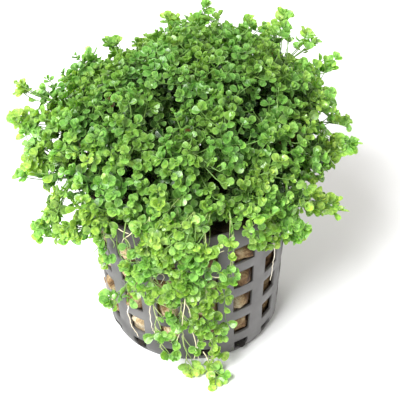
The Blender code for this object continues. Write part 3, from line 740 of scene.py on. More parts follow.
def dress(growth, draw, kind, points, facing, size, youth, more_pairs=0):
    """A rosette of close leaf pairs at a stem's tip, and pairs wider apart back from it."""
    lengths = [0.0]
    for one, two in zip(points, points[1:]):
        lengths.append(lengths[-1] + (two - one).length)
    start = draw.randrange(2)
    gap = 0.0
    for node in range(len(kind.tip_pairs) + kind.more_pairs + more_pairs):
        if node < len(kind.tip_pairs):
            gap, grown, rises = kind.tip_pairs[node]
        else:
            gap += kind.gap * draw.uniform(*GAP_SPREAD)
            grown, rises = 1.0, LOWER_RISES
        along = lengths[-1] - gap
        if along < BARE_START:
            break
        point, tangent = point_along(points, lengths, along)
        age = min(kind.oldest, max(0.0, youth + AGE_STEP * node + draw.uniform(-AGE_STEP, AGE_STEP)))
        length = size * grown * draw.uniform(*PAIR_SIZES)
        add_leaf_pair(growth, draw, point, tangent, facing, node + start, length, age, rises, kind.follow)


def bow(start, leave, end, arrive, steps):
    """Points on a cubic curve that leaves the start and arrives at the end in given directions."""
    reach = (end - start).length * BOW_REACH
    one = start + leave * reach
    two = end - arrive * reach
    found = []
    for step in range(steps + 1):
        t = step / steps
        u = 1 - t
        found.append(start * u ** 3 + one * (3 * u * u * t) + two * (3 * u * t * t) + end * t ** 3)
    return found


def outer_faces(node):
    """Area, corners and normal of each triangle on the outside of a clump."""
    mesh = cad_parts[node].data
    mesh.calc_loop_triangles()
    found = []
    for triangle in mesh.loop_triangles:
        a, b, c = (mesh.vertices[index].co for index in triangle.vertices)
        middle = (a + b + c) / 3
        out = (middle - ROOTING_POINT).normalized()
        if triangle.normal.dot(out) > OUTWARD_COSINE and (middle - MOUND_CENTRE).length > OUTSIDE_FROM:
            found.append((triangle.area, a.copy(), b.copy(), c.copy(), triangle.normal.copy()))
    return found


def wave_depth(point):
    """How far the mound's outside falls back here, in gentle waves."""
    return WAVE_DEPTH * (WAVE_MIDDLE - noise.noise(point / WAVE_LENGTH))


def in_pocket(point):
    """Whether a place is in the mouth of one of the mound's dark pockets."""
    way = point - MOUND_CENTRE
    if way.length < POCKET_BOTTOM:
        return False
    return any(way.angle(direction(azimuth, elevation)) < radius for azimuth, elevation, radius in POCKETS)


def in_rim_gap(point):
    """Whether a leaf here would hide the rim's free places from the front."""
    turn = math.degrees(math.atan2(point.x, -point.y))
    height = point.z - (point.xy.length - RIM_RADIUS) * math.tan(CAMERA_ELEVATION)
    return point.y < 0 and any(
        first < turn < last and low < height < high for first, last, low, high in RIM_GAPS)


# Places that tips have taken, by the cell of space that they are in
taken = {}


def is_free(point, spacing):
    """Whether no tip is closer than the spacing, and if so takes the place."""
    cell = tuple(int(math.floor(value / spacing)) for value in point)
    for shift in product((-1, 0, 1), repeat=3):
        near = tuple(one + other for one, other in zip(cell, shift))
        if any((other - point).length < spacing for other in taken.get(near, ())):
            return False
    taken.setdefault(cell, []).append(point)
    return True


def clump_tips(node, draw, spacing, depths):
    """Even but random places for the shoot tips on the outside of a clump, with its normal."""
    faces = outer_faces(node)
    areas = [face[0] for face in faces]
    found = []
    for _ in range(int(sum(areas) / (spacing ** 2) * TIP_TRIES)):
        _, a, b, c, normal = draw.choices(faces, areas)[0]
        u, v = draw.random(), draw.random()
        if u + v > 1:
            u, v = 1 - u, 1 - v
        spot = a + (b - a) * u + (c - a) * v
        way = (spot - MOUND_CENTRE).normalized()
        normal = (normal * 0.5 + way * 0.5).normalized()
        depth = draw.uniform(*depths) - wave_depth(spot)
        tip = spot + normal * depth
        if not is_clear_tip(tip) or not is_free(spot + normal * depths[0], spacing):
            continue
        if draw.random() > OPEN_EDGE * outlying(tip) ** 2:
            found.append((tip, normal, depth))
    return found


def rooting_spot(way, draw):
    """Where in the top of the wool a stem that heads one way comes from."""
    level = Vector((way.x, way.y, 0.0))
    spot = level * ROOTING_RADIUS * draw.uniform(*LEADER_STARTS)
    spot += Vector((draw.uniform(-1, 1), draw.uniform(-1, 1), 0.0)) * LEADER_SCATTER * MM
    if spot.length > ROOTING_RADIUS * LEADER_LIMIT:
        spot *= ROOTING_RADIUS * LEADER_LIMIT / spot.length
    return spot + UP * (WOOL_TOP - MM)


def nearest_start(leaders, tip, arrive, reach):
    """The place on a leader that a side shoot to this tip best starts from, and the way there."""
    best = None
    for points in leaders:
        for index in range(2, len(points) - 2):
            stretch = tip - points[index]
            far = stretch.length
            if far < NEAREST_SHARE * reach:
                continue
            cost = abs(far - reach) + ASKEW_COST * (1 - stretch.normalized().dot(arrive))
            if best is None or cost < best[0]:
                best = (cost, points[index], (points[index + 1] - points[index]).normalized())
    return best[1], best[2]


def clump_middle(node):
    corners = [Vector(corner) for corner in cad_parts[node].bound_box]
    return sum(corners, Vector()) / len(corners)


def nearest_clump(point):
    return min(CLUMPS, key=lambda name: (clump_middle(name) - point).length)


def leaf_size(point, draw):
    """The leaves are smaller in the middle of the mound than round its edge."""
    share = CENTRE_LEAF_SHARE + (1 - CENTRE_LEAF_SHARE) * outlying(point)
    return LEAF_LENGTH * share * draw.uniform(*STEM_SIZES)


def arrival(draw, kind, outward, upward=UP):
    """The way that a shoot arrives at its tip."""
    mix = outward * kind.outward + upward * kind.upward + kind.wander * random_vector(draw)
    return mix.normalized()


def side_stem(growth, leaders, kind, tip, arrive, turn=None):
    """The stem of a shoot from a leader to its tip, or none if it has to hide and would show."""
    start, tangent = nearest_start(leaders, tip, arrive, kind.reach)
    leave = (tangent + turn).normalized() if turn else tangent
    points = bow(start, leave, tip, arrive, kind.steps)
    if kind.hides and crosses_open_place(points):
        return None
    growth.stem(points, *kind.radii, kind.stem_age)
    return points


def grow_outer_shoots(growth, draw, node):
    """Leaders from the wool to some of the tips, and shoots from the leaders to the others."""
    tips = clump_tips(node, draw, TIP_SPACING, TIP_DEPTHS)
    draw.shuffle(tips)
    leaders = []
    count = max(FEWEST_LEADERS, int(len(tips) * LEADER_SHARE))
    for place, (tip, normal, depth) in enumerate(tips):
        facing = (normal * OUTER_FACING[0] + UP * OUTER_FACING[1]).normalized()
        arrive = arrival(draw, OUTER, normal)
        youth = min(DEEPEST_AGE, max(0.0, LEVEL_AGE - depth / DEPTH_OF_AGE)) * draw.uniform(*AGE_SPREAD)
        size = leaf_size(tip, draw)
        if place < count:
            start = rooting_spot((tip - ROOTING_POINT).normalized(), draw)
            leave = (UP + (tip - start).normalized() * LEADER_LEAN).normalized()
            points = bow(start, leave, tip, arrive, LEADER.steps)
            growth.stem(points, *LEADER.radii, LEADER.stem_age)
            leaders.append(points)
            dress(growth, draw, LEADER, points, facing, size, youth)
            continue
        points = side_stem(growth, leaders, OUTER, tip, arrive, LEAVE_SPREAD * random_vector(draw))
        if points:
            dress(growth, draw, OUTER, points, facing, size, youth, draw.choice((0, 1)))
    return leaders


def grow_inner_shoots(growth, draw, node, leaders):
    """Older shoots below the outer ones, a few of them withered."""
    for spacing, depths, bigger in INNER_LAYERS:
        for tip, normal, _ in clump_tips(node, draw, spacing, depths):
            points = side_stem(growth, leaders, INNER, tip, arrival(draw, INNER, normal))
            if not points:
                continue
            withered = draw.random() < WITHERED_SHARE
            kind, youth = (WITHERED, WITHERED_AGE) if withered else (INNER, INNER_AGE)
            dress(growth, draw, kind, points, normal, bigger * leaf_size(tip, draw), youth)


def grow_tufts(growth, draw, node, leaders):
    """The tufts that stand out of the mound, of those that lie nearest to this clump."""
    for x, y, z, count, spread in SPRAYS:
        middle = Vector((x, y, z)) * MM
        if nearest_clump(middle) != node:
            continue
        for _ in range(count):
            tip = middle + spread * MM * random_vector(draw)
            if not is_clear_tip(tip):
                continue
            arrive = arrival(draw, TUFT, (tip - MOUND_CENTRE).normalized())
            points = side_stem(growth, leaders, TUFT, tip, arrive)
            facing = (0.3 * arrive + LIGHTWARD).normalized()
            dress(growth, draw, TUFT, points, facing, leaf_size(tip, draw), TUFT_AGE)


def fringe_tips():
    """The tips of the fringe over the pot's front, the same for every clump."""
    draw = random.Random(FRINGE_SEED)
    limits = (FRINGE_TURNS, FRINGE_HEIGHTS, FRINGE_STAND_OFF)
    return [beside_pot(*[draw.uniform(*pair) for pair in limits]) for _ in range(FRINGE_COUNT)]


def grow_fringe(growth, draw, node, leaders):
    """The shoots of the fringe whose tips are nearest to this clump."""
    for tip in fringe_tips():
        if nearest_clump(tip) != node or not is_clear_tip(tip):
            continue
        facing = facing_out(tip)
        points = side_stem(growth, leaders, FRINGE, tip, arrival(draw, FRINGE, facing), facing)
        dress(growth, draw, FRINGE, points, facing, leaf_size(tip, draw), TUFT_AGE)


def grow_clump(node, seed, leaf_material, stem_material):
    """All the shoots of one clump, as one piece."""
    draw = random.Random(seed)
    growth = Growth(keep_open=True)
    leaders = grow_outer_shoots(growth, draw, node)
    grow_inner_shoots(growth, draw, node, leaders)
    grow_tufts(growth, draw, node, leaders)
    grow_fringe(growth, draw, node, leaders)
    piece = growth.build(node + "_shoots", leaf_material, stem_material)
    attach(piece, "root")
    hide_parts(node)


def facing_out(point):
    """Leaves beside the pot face away from it and a little up, and leaves on the floor face up."""
    outward = Vector((point.x, point.y, 0.0)).normalized()
    stand_off = point.xy.length - pot_outer_radius(point.z)
    lying = clamp(stand_off / LYING_STAND_OFF - 0.5)
    return (outward * (1 - lying) + UP * (BESIDE_LIFT + LYING_LIFT * lying)).normalized()


def grow_trailing(name, route, seed, leaf_material, stem_material):
    """A stem down the pot with its side shoots, which lie close to it and to the wall."""
    draw = random.Random(seed)
    growth = Growth()
    points = smooth_route(route, STEM_ROUTE_STEPS)
    points = [point + STEM_WANDER * random_vector(draw) for point in points]
    inward = Vector((-points[0].x, -points[0].y, 0)).normalized()
    points.insert(0, points[0] + UP * 5 * MM + inward * 2 * MM)
    growth.stem(points, *TRAILING_STEM.radii, STEM_AGES.get(name, MIDDLE_AGE))
    facing = facing_out(points[len(points) // 2])
    dress(growth, draw, TRAILING_STEM, points, facing, LEAF_LENGTH, 0.0)
    for bare in BARE_SHOOTS.get(name, ()):
        growth.stem(smooth_route(bare, BARE_ROUTE_STEPS), *BARE_RADII, BARE_AGE)
    for spot in SIDE_TIPS[name]:
        grow_side_tip(growth, draw, points, beside_pot(*spot) + TIP_WANDER * random_vector(draw))
    for first, last, count, reach in SIDE_SHOOTS[name]:
        for _ in range(count):
            index = min(len(points) - 2, int(draw.uniform(first, last) * (len(points) - 1)))
            grow_side_shoot(growth, draw, points, index, reach * MM)
    piece = growth.build(name + "_shoots", leaf_material, stem_material)
    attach(piece, "root")
    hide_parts(name)


def grow_twig(growth, draw, kind, points, index, tip, arrive, facing):
    """A twig with its leaves, from one point of a trailing stem to a tip."""
    tangent = (points[index + 1] - points[index]).normalized()
    twig = bow(points[index], tangent, tip, arrive, kind.steps)
    growth.stem(twig, *kind.radii, kind.stem_age)
    size = LEAF_LENGTH * draw.uniform(*SIDE_SIZES)
    dress(growth, draw, kind, twig, facing, size, draw.uniform(*SIDE_AGES))


def grow_side_tip(growth, draw, points, tip):
    """A twig to a given tip from the place above it on the stem that is the right way off."""
    def cost(index):
        far = (points[index] - tip).length
        return abs(far - SIDE_TIP.reach) + 2 * max(0.0, tip.z + MM - points[index].z)
    index = min(range(len(points) - 1), key=cost)
    facing = facing_out(tip)
    grow_twig(growth, draw, SIDE_TIP, points, index, tip, arrival(draw, SIDE_TIP, facing), facing)


def grow_side_shoot(growth, draw, points, index, reach):
    """A short leafy shoot off a trailing stem, downwards, sideways and away from the wall."""
    start = points[index]
    tangent = (points[index + 1] - start).normalized()
    facing = facing_out(start)
    side = tangent.cross(facing).normalized() * draw.choice((-1, 1))
    along, aside, outward = (draw.uniform(*limits) for limits in SIDE_WAYS)
    way = tangent * along + side * aside + facing * outward
    tip = start + way.normalized() * reach * draw.uniform(*SIDE_LENGTHS)
    arrive = arrival(draw, SIDE_SHOOT, way.normalized(), facing)
    grow_twig(growth, draw, SIDE_SHOOT, points, index, tip, arrive, facing)


class Looks:
    """One material, while its nodes are put together."""

    def __init__(self, name):
        self.material = bpy.data.materials.new(name)
        self.material.use_nodes = True
        self.nodes = self.material.node_tree.nodes
        self.nodes.clear()
        self.spot = self.nodes.new("ShaderNodeTexCoord").outputs["Object"]

    def feed(self, socket, value):
        """Links an input to the output that it is given, or else sets it to the value."""
        if isinstance(value, bpy.types.NodeSocket):
            self.material.node_tree.links.new(value, socket)
        else:
            socket.default_value = (*value, 1.0) if socket.type == "RGBA" else value

    def add(self, kind, **inputs):
        """A node of one kind, with inputs by their names, which have _ for a space."""
        node = self.nodes.new("ShaderNode" + kind)
        for name, value in inputs.items():
            self.feed(node.inputs[name.replace("_", " ")], value)
        return node

    def noise(self, scale, detail, roughness=0.5, distortion=0.0, vector=None):
        """A noise from 0 to 1 over the object."""
        vector = self.spot if vector is None else vector
        return self.add("TexNoise", Vector=vector, Scale=scale, Detail=detail, Roughness=roughness,
                        Distortion=distortion).outputs["Fac"]

    def ramp(self, value, *stops):
        """A colour by a value, even between stops of place and colour."""
        node = self.add("ValToRGB", Fac=value)
        node.color_ramp.interpolation = "LINEAR"
        while len(node.color_ramp.elements) < len(stops):
            node.color_ramp.elements.new(0.5)
        for element, (place, colour) in zip(node.color_ramp.elements, stops):
            element.position = place
            element.color = (*colour, 1.0)
        return node.outputs["Color"]

    def mix(self, blend, factor, first, second):
        """A mix of two colours, whose factor and colours are outputs or plain values."""
        node = self.nodes.new("ShaderNodeMix")
        node.data_type = "RGBA"
        node.blend_type = blend
        for index, value in ((0, factor), (6, first), (7, second)):
            self.feed(node.inputs[index], value)
        return node.outputs[2]

    def times(self, first, second):
        return self.mix("MULTIPLY", 1.0, first, second)

    def fade(self, value, low, high, to_low, to_high):
        """Goes smoothly from one value to another as the value given goes from low to high."""
        node = self.add("MapRange", Value=value, From_Min=low, From_Max=high, To_Min=to_low, To_Max=to_high)
        node.interpolation_type = "SMOOTHSTEP"
        return node.outputs["Result"]

    def calculate(self, operation, *values):
        node = self.nodes.new("ShaderNodeMath")
        node.operation = operation
        for socket, value in zip(node.inputs, values):
            self.feed(socket, value)
        return node.outputs[0]

    def surface(self, colour, gloss, roughness, relief, strength, depth, **more):
        """A Principled surface whose roughness goes from one value to another with a noise."""
        rough = self.fade(gloss, *NOISE_SPAN, *roughness)
        bump = self.add("Bump", Strength=strength, Distance=depth, Height=relief).outputs["Normal"]
        shader = self.add("BsdfPrincipled", Base_Color=colour, Roughness=rough, Normal=bump, **more)
        return shader.outputs["BSDF"]

    def finish(self, shader):
        self.add("OutputMaterial", Surface=shader)
        return self.material

    def growth(self):
        """The colour attribute of leaves and stems: its three colours apart, and its alpha."""
        node = self.add("Attribute")
        node.attribute_name = "growth"
        return self.add("SeparateColor", Color=node.outputs["Color"]).outputs, node.outputs["Alpha"]


def leaf_material():
    """Fresh green, yellower when young, with a pale midrib; light shines through it. Painted light
    makes outlying leaves lighter and each blade's rim paler; painted shade darkens its base.
    """
    leaf = Looks("leaf_blade")
    parts, rim = leaf.growth()
    # Old leaves are darker green; the near-black of the oldest, inside the mound, is painted shade
    by_age = leaf.ramp(parts["Red"], (0.0, (0.32, 0.53, 0.12)), (0.3, (0.27, 0.51, 0.085)),
                       (0.6, (0.215, 0.43, 0.072)), (0.9, (0.05, 0.14, 0.025)), (1.0, (0.26, 0.13, 0.04)))
    # Painted light: outlying leaves made up to twice as light and paler; the random part is tone
    painted_light_by_shade = leaf.ramp(parts["Green"], (0.0, (0.85, 0.90, 0.92)), (0.35, (1.05, 1.04, 1.06)),
                         (0.65, (1.64, 1.37, 1.75)), (1.0, (2.00, 1.57, 2.60)))
    colour = leaf.times(by_age, painted_light_by_shade)
    olive = leaf.times(colour, (1.13, 1.0, 0.90))
    bluish = leaf.times(colour, (0.86, 0.98, 1.10))
    patches = leaf.fade(leaf.noise(120.0, 2.0), 0.38, 0.62, 0.0, 1.0)
    colour = leaf.mix("MIX", patches, bluish, olive)
    mottle = leaf.fade(leaf.noise(1400.0, 3.0), 0.36, 0.60, 0.0, 1.0)
    colour = leaf.mix("MIX", mottle, leaf.times(colour, (0.58, 0.70, 0.60)), colour)
    uv = leaf.nodes.new("ShaderNodeUVMap")
    uv.uv_map = "leaf"
    across = leaf.add("SeparateXYZ", Vector=uv.outputs["UV"]).outputs["Y"]
    off_middle = leaf.calculate("ABSOLUTE", leaf.calculate("SUBTRACT", across, 0.5))
    midrib = leaf.fade(off_middle, 0.015, 0.05, 0.22, 0.0)
    colour = leaf.mix("MIX", midrib, colour, (0.42, 0.60, 0.20))
    # Painted highlight: the rim of each blade made paler, as where light catches it
    colour = leaf.mix("MIX", leaf.fade(rim, 0.6, 1.0, 0.0, 0.5), colour, (0.46, 0.68, 0.25))
    # Painted shade: each blade darker towards its base, where the leaves of a pair meet
    base = leaf.fade(parts["Blue"], 0.0, 0.65, 0.55, 0.0)
    colour = leaf.mix("MULTIPLY", base, colour, (0.35, 0.5, 0.4))
    grain = leaf.noise(3500.0, 2.0)
    relief = leaf.calculate("SUBTRACT", grain, midrib)
    blade = leaf.surface(colour, grain, (0.22, 0.40), relief, 0.35, 0.06 * MM, Specular_IOR_Level=0.68)
    glow = leaf.add("BsdfTranslucent", Color=leaf.times(colour, (1.55, 1.35, 0.75)))
    both = leaf.add("MixShader", Fac=0.50)
    leaf.feed(both.inputs[1], blade)
    leaf.feed(both.inputs[2], glow.outputs["BSDF"])
    return leaf.finish(both.outputs["Shader"])


def stem_material():
    """Pale green towards the tips and cream where the stem is old."""
    stem = Looks("young_stem")
    parts, _ = stem.growth()
    along = stem.calculate("MULTIPLY", parts["Blue"], -0.55)
    patchy = stem.calculate("SUBTRACT", stem.noise(160.0, 2.0), 0.45)
    old = stem.calculate("ADD", stem.calculate("ADD", parts["Red"], along), patchy)
    colour = stem.ramp(old, (0.0, (0.14, 0.27, 0.05)), (0.4, (0.30, 0.40, 0.12)), (1.0, (0.68, 0.62, 0.40)))
    grain = stem.noise(2600.0, 2.0)
    return stem.finish(stem.surface(colour, grain, (0.35, 0.55), grain, 0.3, 0.05 * MM))


def root_material():
    """Nearly white living root, with a little tan."""
    root = Looks("pale_root")
    colour = root.ramp(root.noise(220.0, 3.0), (0.3, (0.86, 0.82, 0.72)), (0.7, (0.66, 0.55, 0.38)))
    grain = root.noise(2600.0, 2.0)
    return root.finish(root.surface(colour, grain, (0.4, 0.6), grain, 0.3, 0.05 * MM))


def pot_material():
    """Dark grey moulded plastic, slightly warm, with a fine skin and dull smears, and painted shade
    towards its rim and at the left of its foot.
    """
    pot = Looks("pot_plastic_moulded")
    cloud = pot.noise(90.0, 4.0)
    colour = pot.ramp(cloud, (0.3, (0.095, 0.091, 0.090)), (0.7, (0.130, 0.125, 0.123)))
    axes = pot.add("SeparateXYZ", Vector=pot.spot).outputs
    ragged = pot.calculate("SUBTRACT", cloud, 0.5)
    ragged = pot.calculate("MULTIPLY", ragged, POT_SHADE_RAGGED)
    level = pot.calculate("ADD", axes["Z"], ragged)
    # Painted shade at the rim, where the leaves above shade it
    rim = pot.fade(level, *POT_SHADE_RIM, 0.0, 0.9)
    colour = pot.mix("MIX", rim, colour, (0.050, 0.044, 0.038))
    # Painted shade at the left of the foot
    leftward = pot.calculate("MULTIPLY", axes["X"], -1.0)
    left = pot.fade(pot.calculate("SUBTRACT", leftward, ragged), *POT_SHADE_LEFT, 0.0, 1.0)
    foot = pot.calculate("MULTIPLY", pot.fade(level, *POT_SHADE_FOOT, 0.75, 0.0), left)
    colour = pot.mix("MIX", foot, colour, (0.045, 0.043, 0.040))
    smear, grain = pot.noise(240.0, 3.0), pot.noise(2200.0, 2.0)
    return pot.finish(pot.surface(colour, smear, (0.36, 0.55), grain, 0.18, 0.04 * MM))


def wool_material():
    """Matted fibre, from dark brown to pale cream in patches, with painted shade towards its foot,
    its top and its right side.
    """
    wool = Looks("wool_felted")
    patches = wool.noise(210.0, 5.0, 0.62, 0.6)
    colour = wool.ramp(patches, (0.36, (0.09, 0.045, 0.018)), (0.44, (0.34, 0.20, 0.085)),
                       (0.54, (0.70, 0.55, 0.32)), (0.68, (0.92, 0.85, 0.66)))
    axes = wool.add("SeparateXYZ", Vector=wool.spot).outputs
    # Painted shade: near black at the foot, dark at the top under the leaves, darker on the right away from
    # the light
    wool_foot_shade = wool.fade(axes["Z"], *WOOL_SHADE_FOOT, 1.0, 0.0)
    wool_top_shade = wool.fade(axes["Z"], *WOOL_SHADE_TOP, 0.0, 0.8)
    wool_right_shade = wool.fade(axes["X"], *WOOL_SHADE_RIGHT, 0.0, 0.95)
    stretch = wool.add("Mapping", Vector=wool.spot, Scale=(1.0, 1.0, 3.2), Rotation=(0.5, 0.3, 0.0))
    fibres = wool.noise(1500.0, 4.0, 0.7, 1.5, stretch.outputs["Vector"])
    threads = wool.fade(fibres, 0.38, 0.6, 0.0, 1.0)
    colour = wool.mix("MIX", threads, wool.times(colour, (0.55, 0.48, 0.42)), colour)
    colour = wool.mix("MULTIPLY", wool_right_shade, colour, (0.38, 0.32, 0.23))
    wool_shade = wool.calculate("ADD", wool_foot_shade, wool_top_shade)
    colour = wool.mix("MULTIPLY", wool_shade, colour, (0.02, 0.016, 0.012))
    return wool.finish(wool.surface(colour, fibres, (0.7, 0.95), fibres, 0.8, 0.35 * MM))


def window_rows():
    """Bottom and top of each row of windows."""
    tops = [FIRST_ROW_TOP + row * ROW_PITCH for row in range(ROWS)]
    return [(FIRST_ROW_BOTTOM if row == 0 else top - WINDOW_HEIGHT, top) for row, top in enumerate(tops)]


def rib_width(height):
    """Width of the upright ribs, which widen towards the foot."""
    return RIB_WIDTH + RIB_FLARE * max(0.0, 1 - height / RIB_FLARE_HEIGHT)


def pot_ring(bm, radius, height):
    """Corners round the pot, column by column from its front: window steps and then rib steps."""
    rib = math.asin(rib_width(height) / 2 / pot_outer_radius(height))
    window = math.pi / COLUMNS - rib
    turns = []
    for column in range(COLUMNS):
        middle = FIRST_COLUMN + column * 2 * math.pi / COLUMNS
        turns += [middle - window + 2 * window * step / WINDOW_STEPS for step in range(WINDOW_STEPS)]
        turns += [middle + window + 2 * rib * step / RIB_STEPS for step in range(RIB_STEPS)]
    return [bm.verts.new((radius * math.sin(turn), -radius * math.cos(turn), height)) for turn in turns]


def join_rings(bm, one, two, is_open=lambda index: False):
    """Faces between two rings of corners, but for the openings."""
    count = len(one)
    for index in range(count):
        after = (index + 1) % count
        if not is_open(index):
            bm.faces.new((one[index], one[after], two[after], two[index]))


def close_ring(bm, ring, height):
    """Faces from a ring of corners to one in its middle."""
    centre = bm.verts.new((0.0, 0.0, height))
    for index, corner in enumerate(ring):
        bm.faces.new((corner, ring[(index + 1) % len(ring)], centre))


def finished_mesh(bm, name):
    bmesh.ops.recalc_face_normals(bm, faces=bm.faces)
    mesh = bpy.data.meshes.new(name)
    bm.to_mesh(mesh)
    bm.free()
    return mesh


def make_pot(material):
    """The pot's outer skin with its openings left out, given thickness and rounded edges."""
    rows = window_rows()
    bm = bmesh.new()
    floor = [pot_ring(bm, radius, 0.0) for radius in FLOOR_RINGS]
    heights = sorted({0.0, BELLY_HEIGHT, POT_HEIGHT, RIM_RING}.union(*rows))
    wall = [pot_ring(bm, pot_outer_radius(height), height) for height in heights]
    slot_pitch = len(floor[0]) / FLOOR_SLOTS
    close_ring(bm, floor[0], 0.0)
    join_rings(bm, floor[0], floor[1], lambda index: index % slot_pitch < SLOT_STEPS)
    join_rings(bm, floor[1], wall[0])
    for bottom, top, low, high in zip(heights, heights[1:], wall, wall[1:]):
        in_row = any(first < (bottom + top) / 2 < last for first, last in rows)
        join_rings(bm, low, high, lambda index: in_row and index % (WINDOW_STEPS + RIB_STEPS) < WINDOW_STEPS)
    pot = add_object("net_pot_moulded", finished_mesh(bm, "net_pot_moulded"), material)
    thick = pot.modifiers.new("wall", "SOLIDIFY")
    thick.thickness = POT_WALL
    thick.offset = -1.0
    thick.use_even_offset = True
    edge = pot.modifiers.new("edge", "BEVEL")
    edge.width = POT_EDGE
    edge.segments = 2
    edge.limit_method = "ANGLE"
    edge.angle_limit = EDGE_ANGLE
    apply_modifiers(pot)
    pot.data.shade_smooth()
    pot.data.set_sharp_from_angle(angle=SMOOTH_ANGLE)
    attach(pot, "root")
    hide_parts("net_pot")


def apply_modifiers(piece):
    """Keeps the evaluated mesh and drops the modifiers."""
    bpy.context.view_layer.update()
    graph = bpy.context.evaluated_depsgraph_get()
    mesh = bpy.data.meshes.new_from_object(piece.evaluated_get(graph))
    piece.modifiers.clear()
    piece.data = mesh


def window_share(turn, height):
    """How far inside a window of the wall a place is: 1 well inside it, 0 behind a rib."""
    radius = pot_outer_radius(height)
    half = math.pi / COLUMNS - math.asin(rib_width(height) / 2 / radius)
    pitch = 2 * math.pi / COLUMNS
    off = (turn - FIRST_COLUMN + pitch / 2) % pitch - pitch / 2
    margin = (half - abs(off)) * radius
    upright = max(clamp(min(height - low, high - height) / WINDOW_FADE) for low, high in window_rows())
    return clamp(margin / WINDOW_FADE) * upright


def wool_bulge(turn):
    """How far the wool stands out into the windows at an angle round the pot."""
    degrees = math.degrees((turn + math.pi) % (2 * math.pi) - math.pi)
    share = clamp((degrees - BULGE_EDGE[0]) / (BULGE_EDGE[1] - BULGE_EDGE[0]))
    return WOOL_BULGE + (WOOL_BULGE_RIGHT - WOOL_BULGE) * share


def rounding(share, depth):
    """How far an edge that is rounded to a depth is set back, from 0 at the edge to 1 clear of it."""
    return (1 - math.sqrt(1 - (1 - share) ** 2)) * depth


def wool_ring(bm, height):
    """Corners round the wool at one height."""
    low = clamp((height - WOOL_BOTTOM) / WOOL_LOWER_EDGE[0])
    high = clamp((WOOL_TOP - height) / WOOL_UPPER_EDGE[0])
    tuck = rounding(low, WOOL_LOWER_EDGE[1]) + rounding(high, WOOL_UPPER_EDGE[1])
    wall = pot_outer_radius(height) - POT_WALL - WOOL_CLEARANCE - tuck
    ring = []
    for index in range(WOOL_STEPS_ROUND):
        turn = 2 * math.pi * index / WOOL_STEPS_ROUND
        spot = Vector((math.sin(turn), -math.cos(turn), 0.0)) * wall + UP * height
        rough = sum(noise.noise(spot / (width * MM)) * lump * MM for width, lump in WOOL_LUMPS)
        swell = WOOL_BULGE_SHARE + WOOL_BULGE_SHARE * noise.noise(spot / WOOL_BULGE_LENGTH)
        bulge = wool_bulge(turn) * window_share(turn, height) * swell
        radius = wall + min(rough, WOOL_HIGHEST_LUMP) - WOOL_SET_BACK + bulge * low * high
        ring.append(bm.verts.new((radius * math.sin(turn), -radius * math.cos(turn), height)))
    return ring


def cap_wool(bm, ring, height):
    """A lumpy end of the wool, in rings from its edge to its middle."""
    before = ring
    width, lump = WOOL_END_LUMP
    for cap in range(1, WOOL_CAP_RINGS):
        shrink = 1 - cap / WOOL_CAP_RINGS
        new = []
        for vert in ring:
            spot = Vector((vert.co.x * shrink, vert.co.y * shrink, 0.0))
            rise = noise.noise(spot / (width * MM)) * lump * MM * min(1.0, 4 * (1 - shrink))
            new.append(bm.verts.new((spot.x, spot.y, height + rise)))
        join_rings(bm, before, new)
        before = new
    close_ring(bm, before, height)


def make_wool(material):
    """A matted plug that fills the pot and bulges a little into the windows."""
    bm = bmesh.new()
    step = (WOOL_TOP - WOOL_BOTTOM) / WOOL_LEVELS
    rings = [wool_ring(bm, WOOL_BOTTOM + step * level) for level in range(WOOL_LEVELS + 1)]
    cap_wool(bm, rings[-1], WOOL_TOP)
    cap_wool(bm, rings[0], WOOL_BOTTOM)
    for low, high in zip(rings, rings[1:]):
        join_rings(bm, low, high)
    mesh = finished_mesh(bm, "mineral_wool_fibre")
    mesh.shade_smooth()
    wool = add_object("mineral_wool_fibre", mesh, material)
    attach(wool, "root")
    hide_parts("mineral_wool")


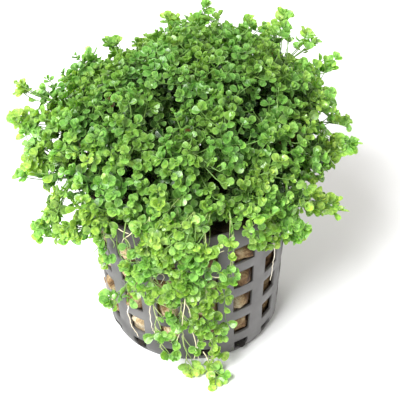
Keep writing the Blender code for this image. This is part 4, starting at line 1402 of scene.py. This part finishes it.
def make_root(name, route, seed, material):
    """A wavy bare root, as a closed tube that stays off the floor."""
    draw = random.Random(seed)
    growth = Growth()
    points = smooth_route(route, ROOT_ROUTE_STEPS)
    points = [point + ROOT_WANDER * random_vector(draw) for point in points]
    growth.stem(points, ROOT_RADIUS, ROOT_RADIUS * ROOT_TAPER, 1.0)
    places, faces, _ = growth.stem_arrays()
    places[:, 2] = np.maximum(places[:, 2], ROOT_CLEARANCE)
    mesh = bpy.data.meshes.new(name + "_living")
    mesh.from_pydata(places.tolist(), [], faces.tolist())
    mesh.shade_smooth()
    piece = add_object(name + "_living", mesh, material)
    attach(piece, "root")
    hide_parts(name)


def make_floor():
    bpy.ops.mesh.primitive_plane_add(size=FLOOR_SIZE, location=(0.0, 0.0, 0.0))
    floor = bpy.context.active_object
    floor.name = "pale_floor"
    looks = Looks("pale_floor")
    shader = looks.add("BsdfPrincipled", Base_Color=FLOOR_COLOUR, Roughness=FLOOR_ROUGHNESS)
    floor.data.materials.append(looks.finish(shader.outputs["BSDF"]))


def area_light(name, place, target, size, power, colour):
    lamp = bpy.data.lights.new(name, "AREA")
    lamp.shape = "DISK"
    lamp.size = size
    lamp.energy = power
    lamp.color = colour
    light = bpy.data.objects.new(name, lamp)
    light.location = place
    light.rotation_euler = (Vector(target) - Vector(place)).to_track_quat("-Z", "Y").to_euler()
    bpy.context.scene.collection.objects.link(light)


def make_light():
    world = bpy.data.worlds.new("studio")
    bpy.context.scene.world = world
    world.use_nodes = True
    back = world.node_tree.nodes["Background"]
    back.inputs["Color"].default_value = WORLD_COLOUR
    back.inputs["Strength"].default_value = WORLD_STRENGTH
    for name, facts in LAMPS.items():
        area_light(name, *facts)
    view = bpy.context.scene.view_settings
    view.view_transform = "Standard"
    view.look = "None"
    view.exposure = 0.0


def make_camera():
    data = bpy.data.cameras.new("camera")
    data.sensor_width = SENSOR
    data.lens = FOCAL_PIXELS * SENSOR / FRAME_PIXELS
    data.clip_start = 0.01
    data.clip_end = 20.0
    camera = bpy.data.objects.new("camera", data)
    camera.location = CAMERA_PLACE
    camera.rotation_euler = CAMERA_TURN.to_euler()
    bpy.context.scene.collection.objects.link(camera)
    bpy.context.scene.camera = camera


def main():
    make_camera()
    make_light()
    make_floor()
    make_pot(pot_material())
    make_wool(wool_material())
    blade, stem, root = leaf_material(), stem_material(), root_material()
    for seed, node in enumerate(CLUMPS, 100):
        grow_clump(node, seed, blade, stem)
    for seed, (name, route) in enumerate(TRAILING.items(), 200):
        grow_trailing(name, route, seed, blade, stem)
    for seed, (name, route) in enumerate(ROOTS.items(), 300):
        make_root(name, route, seed, root)


main()
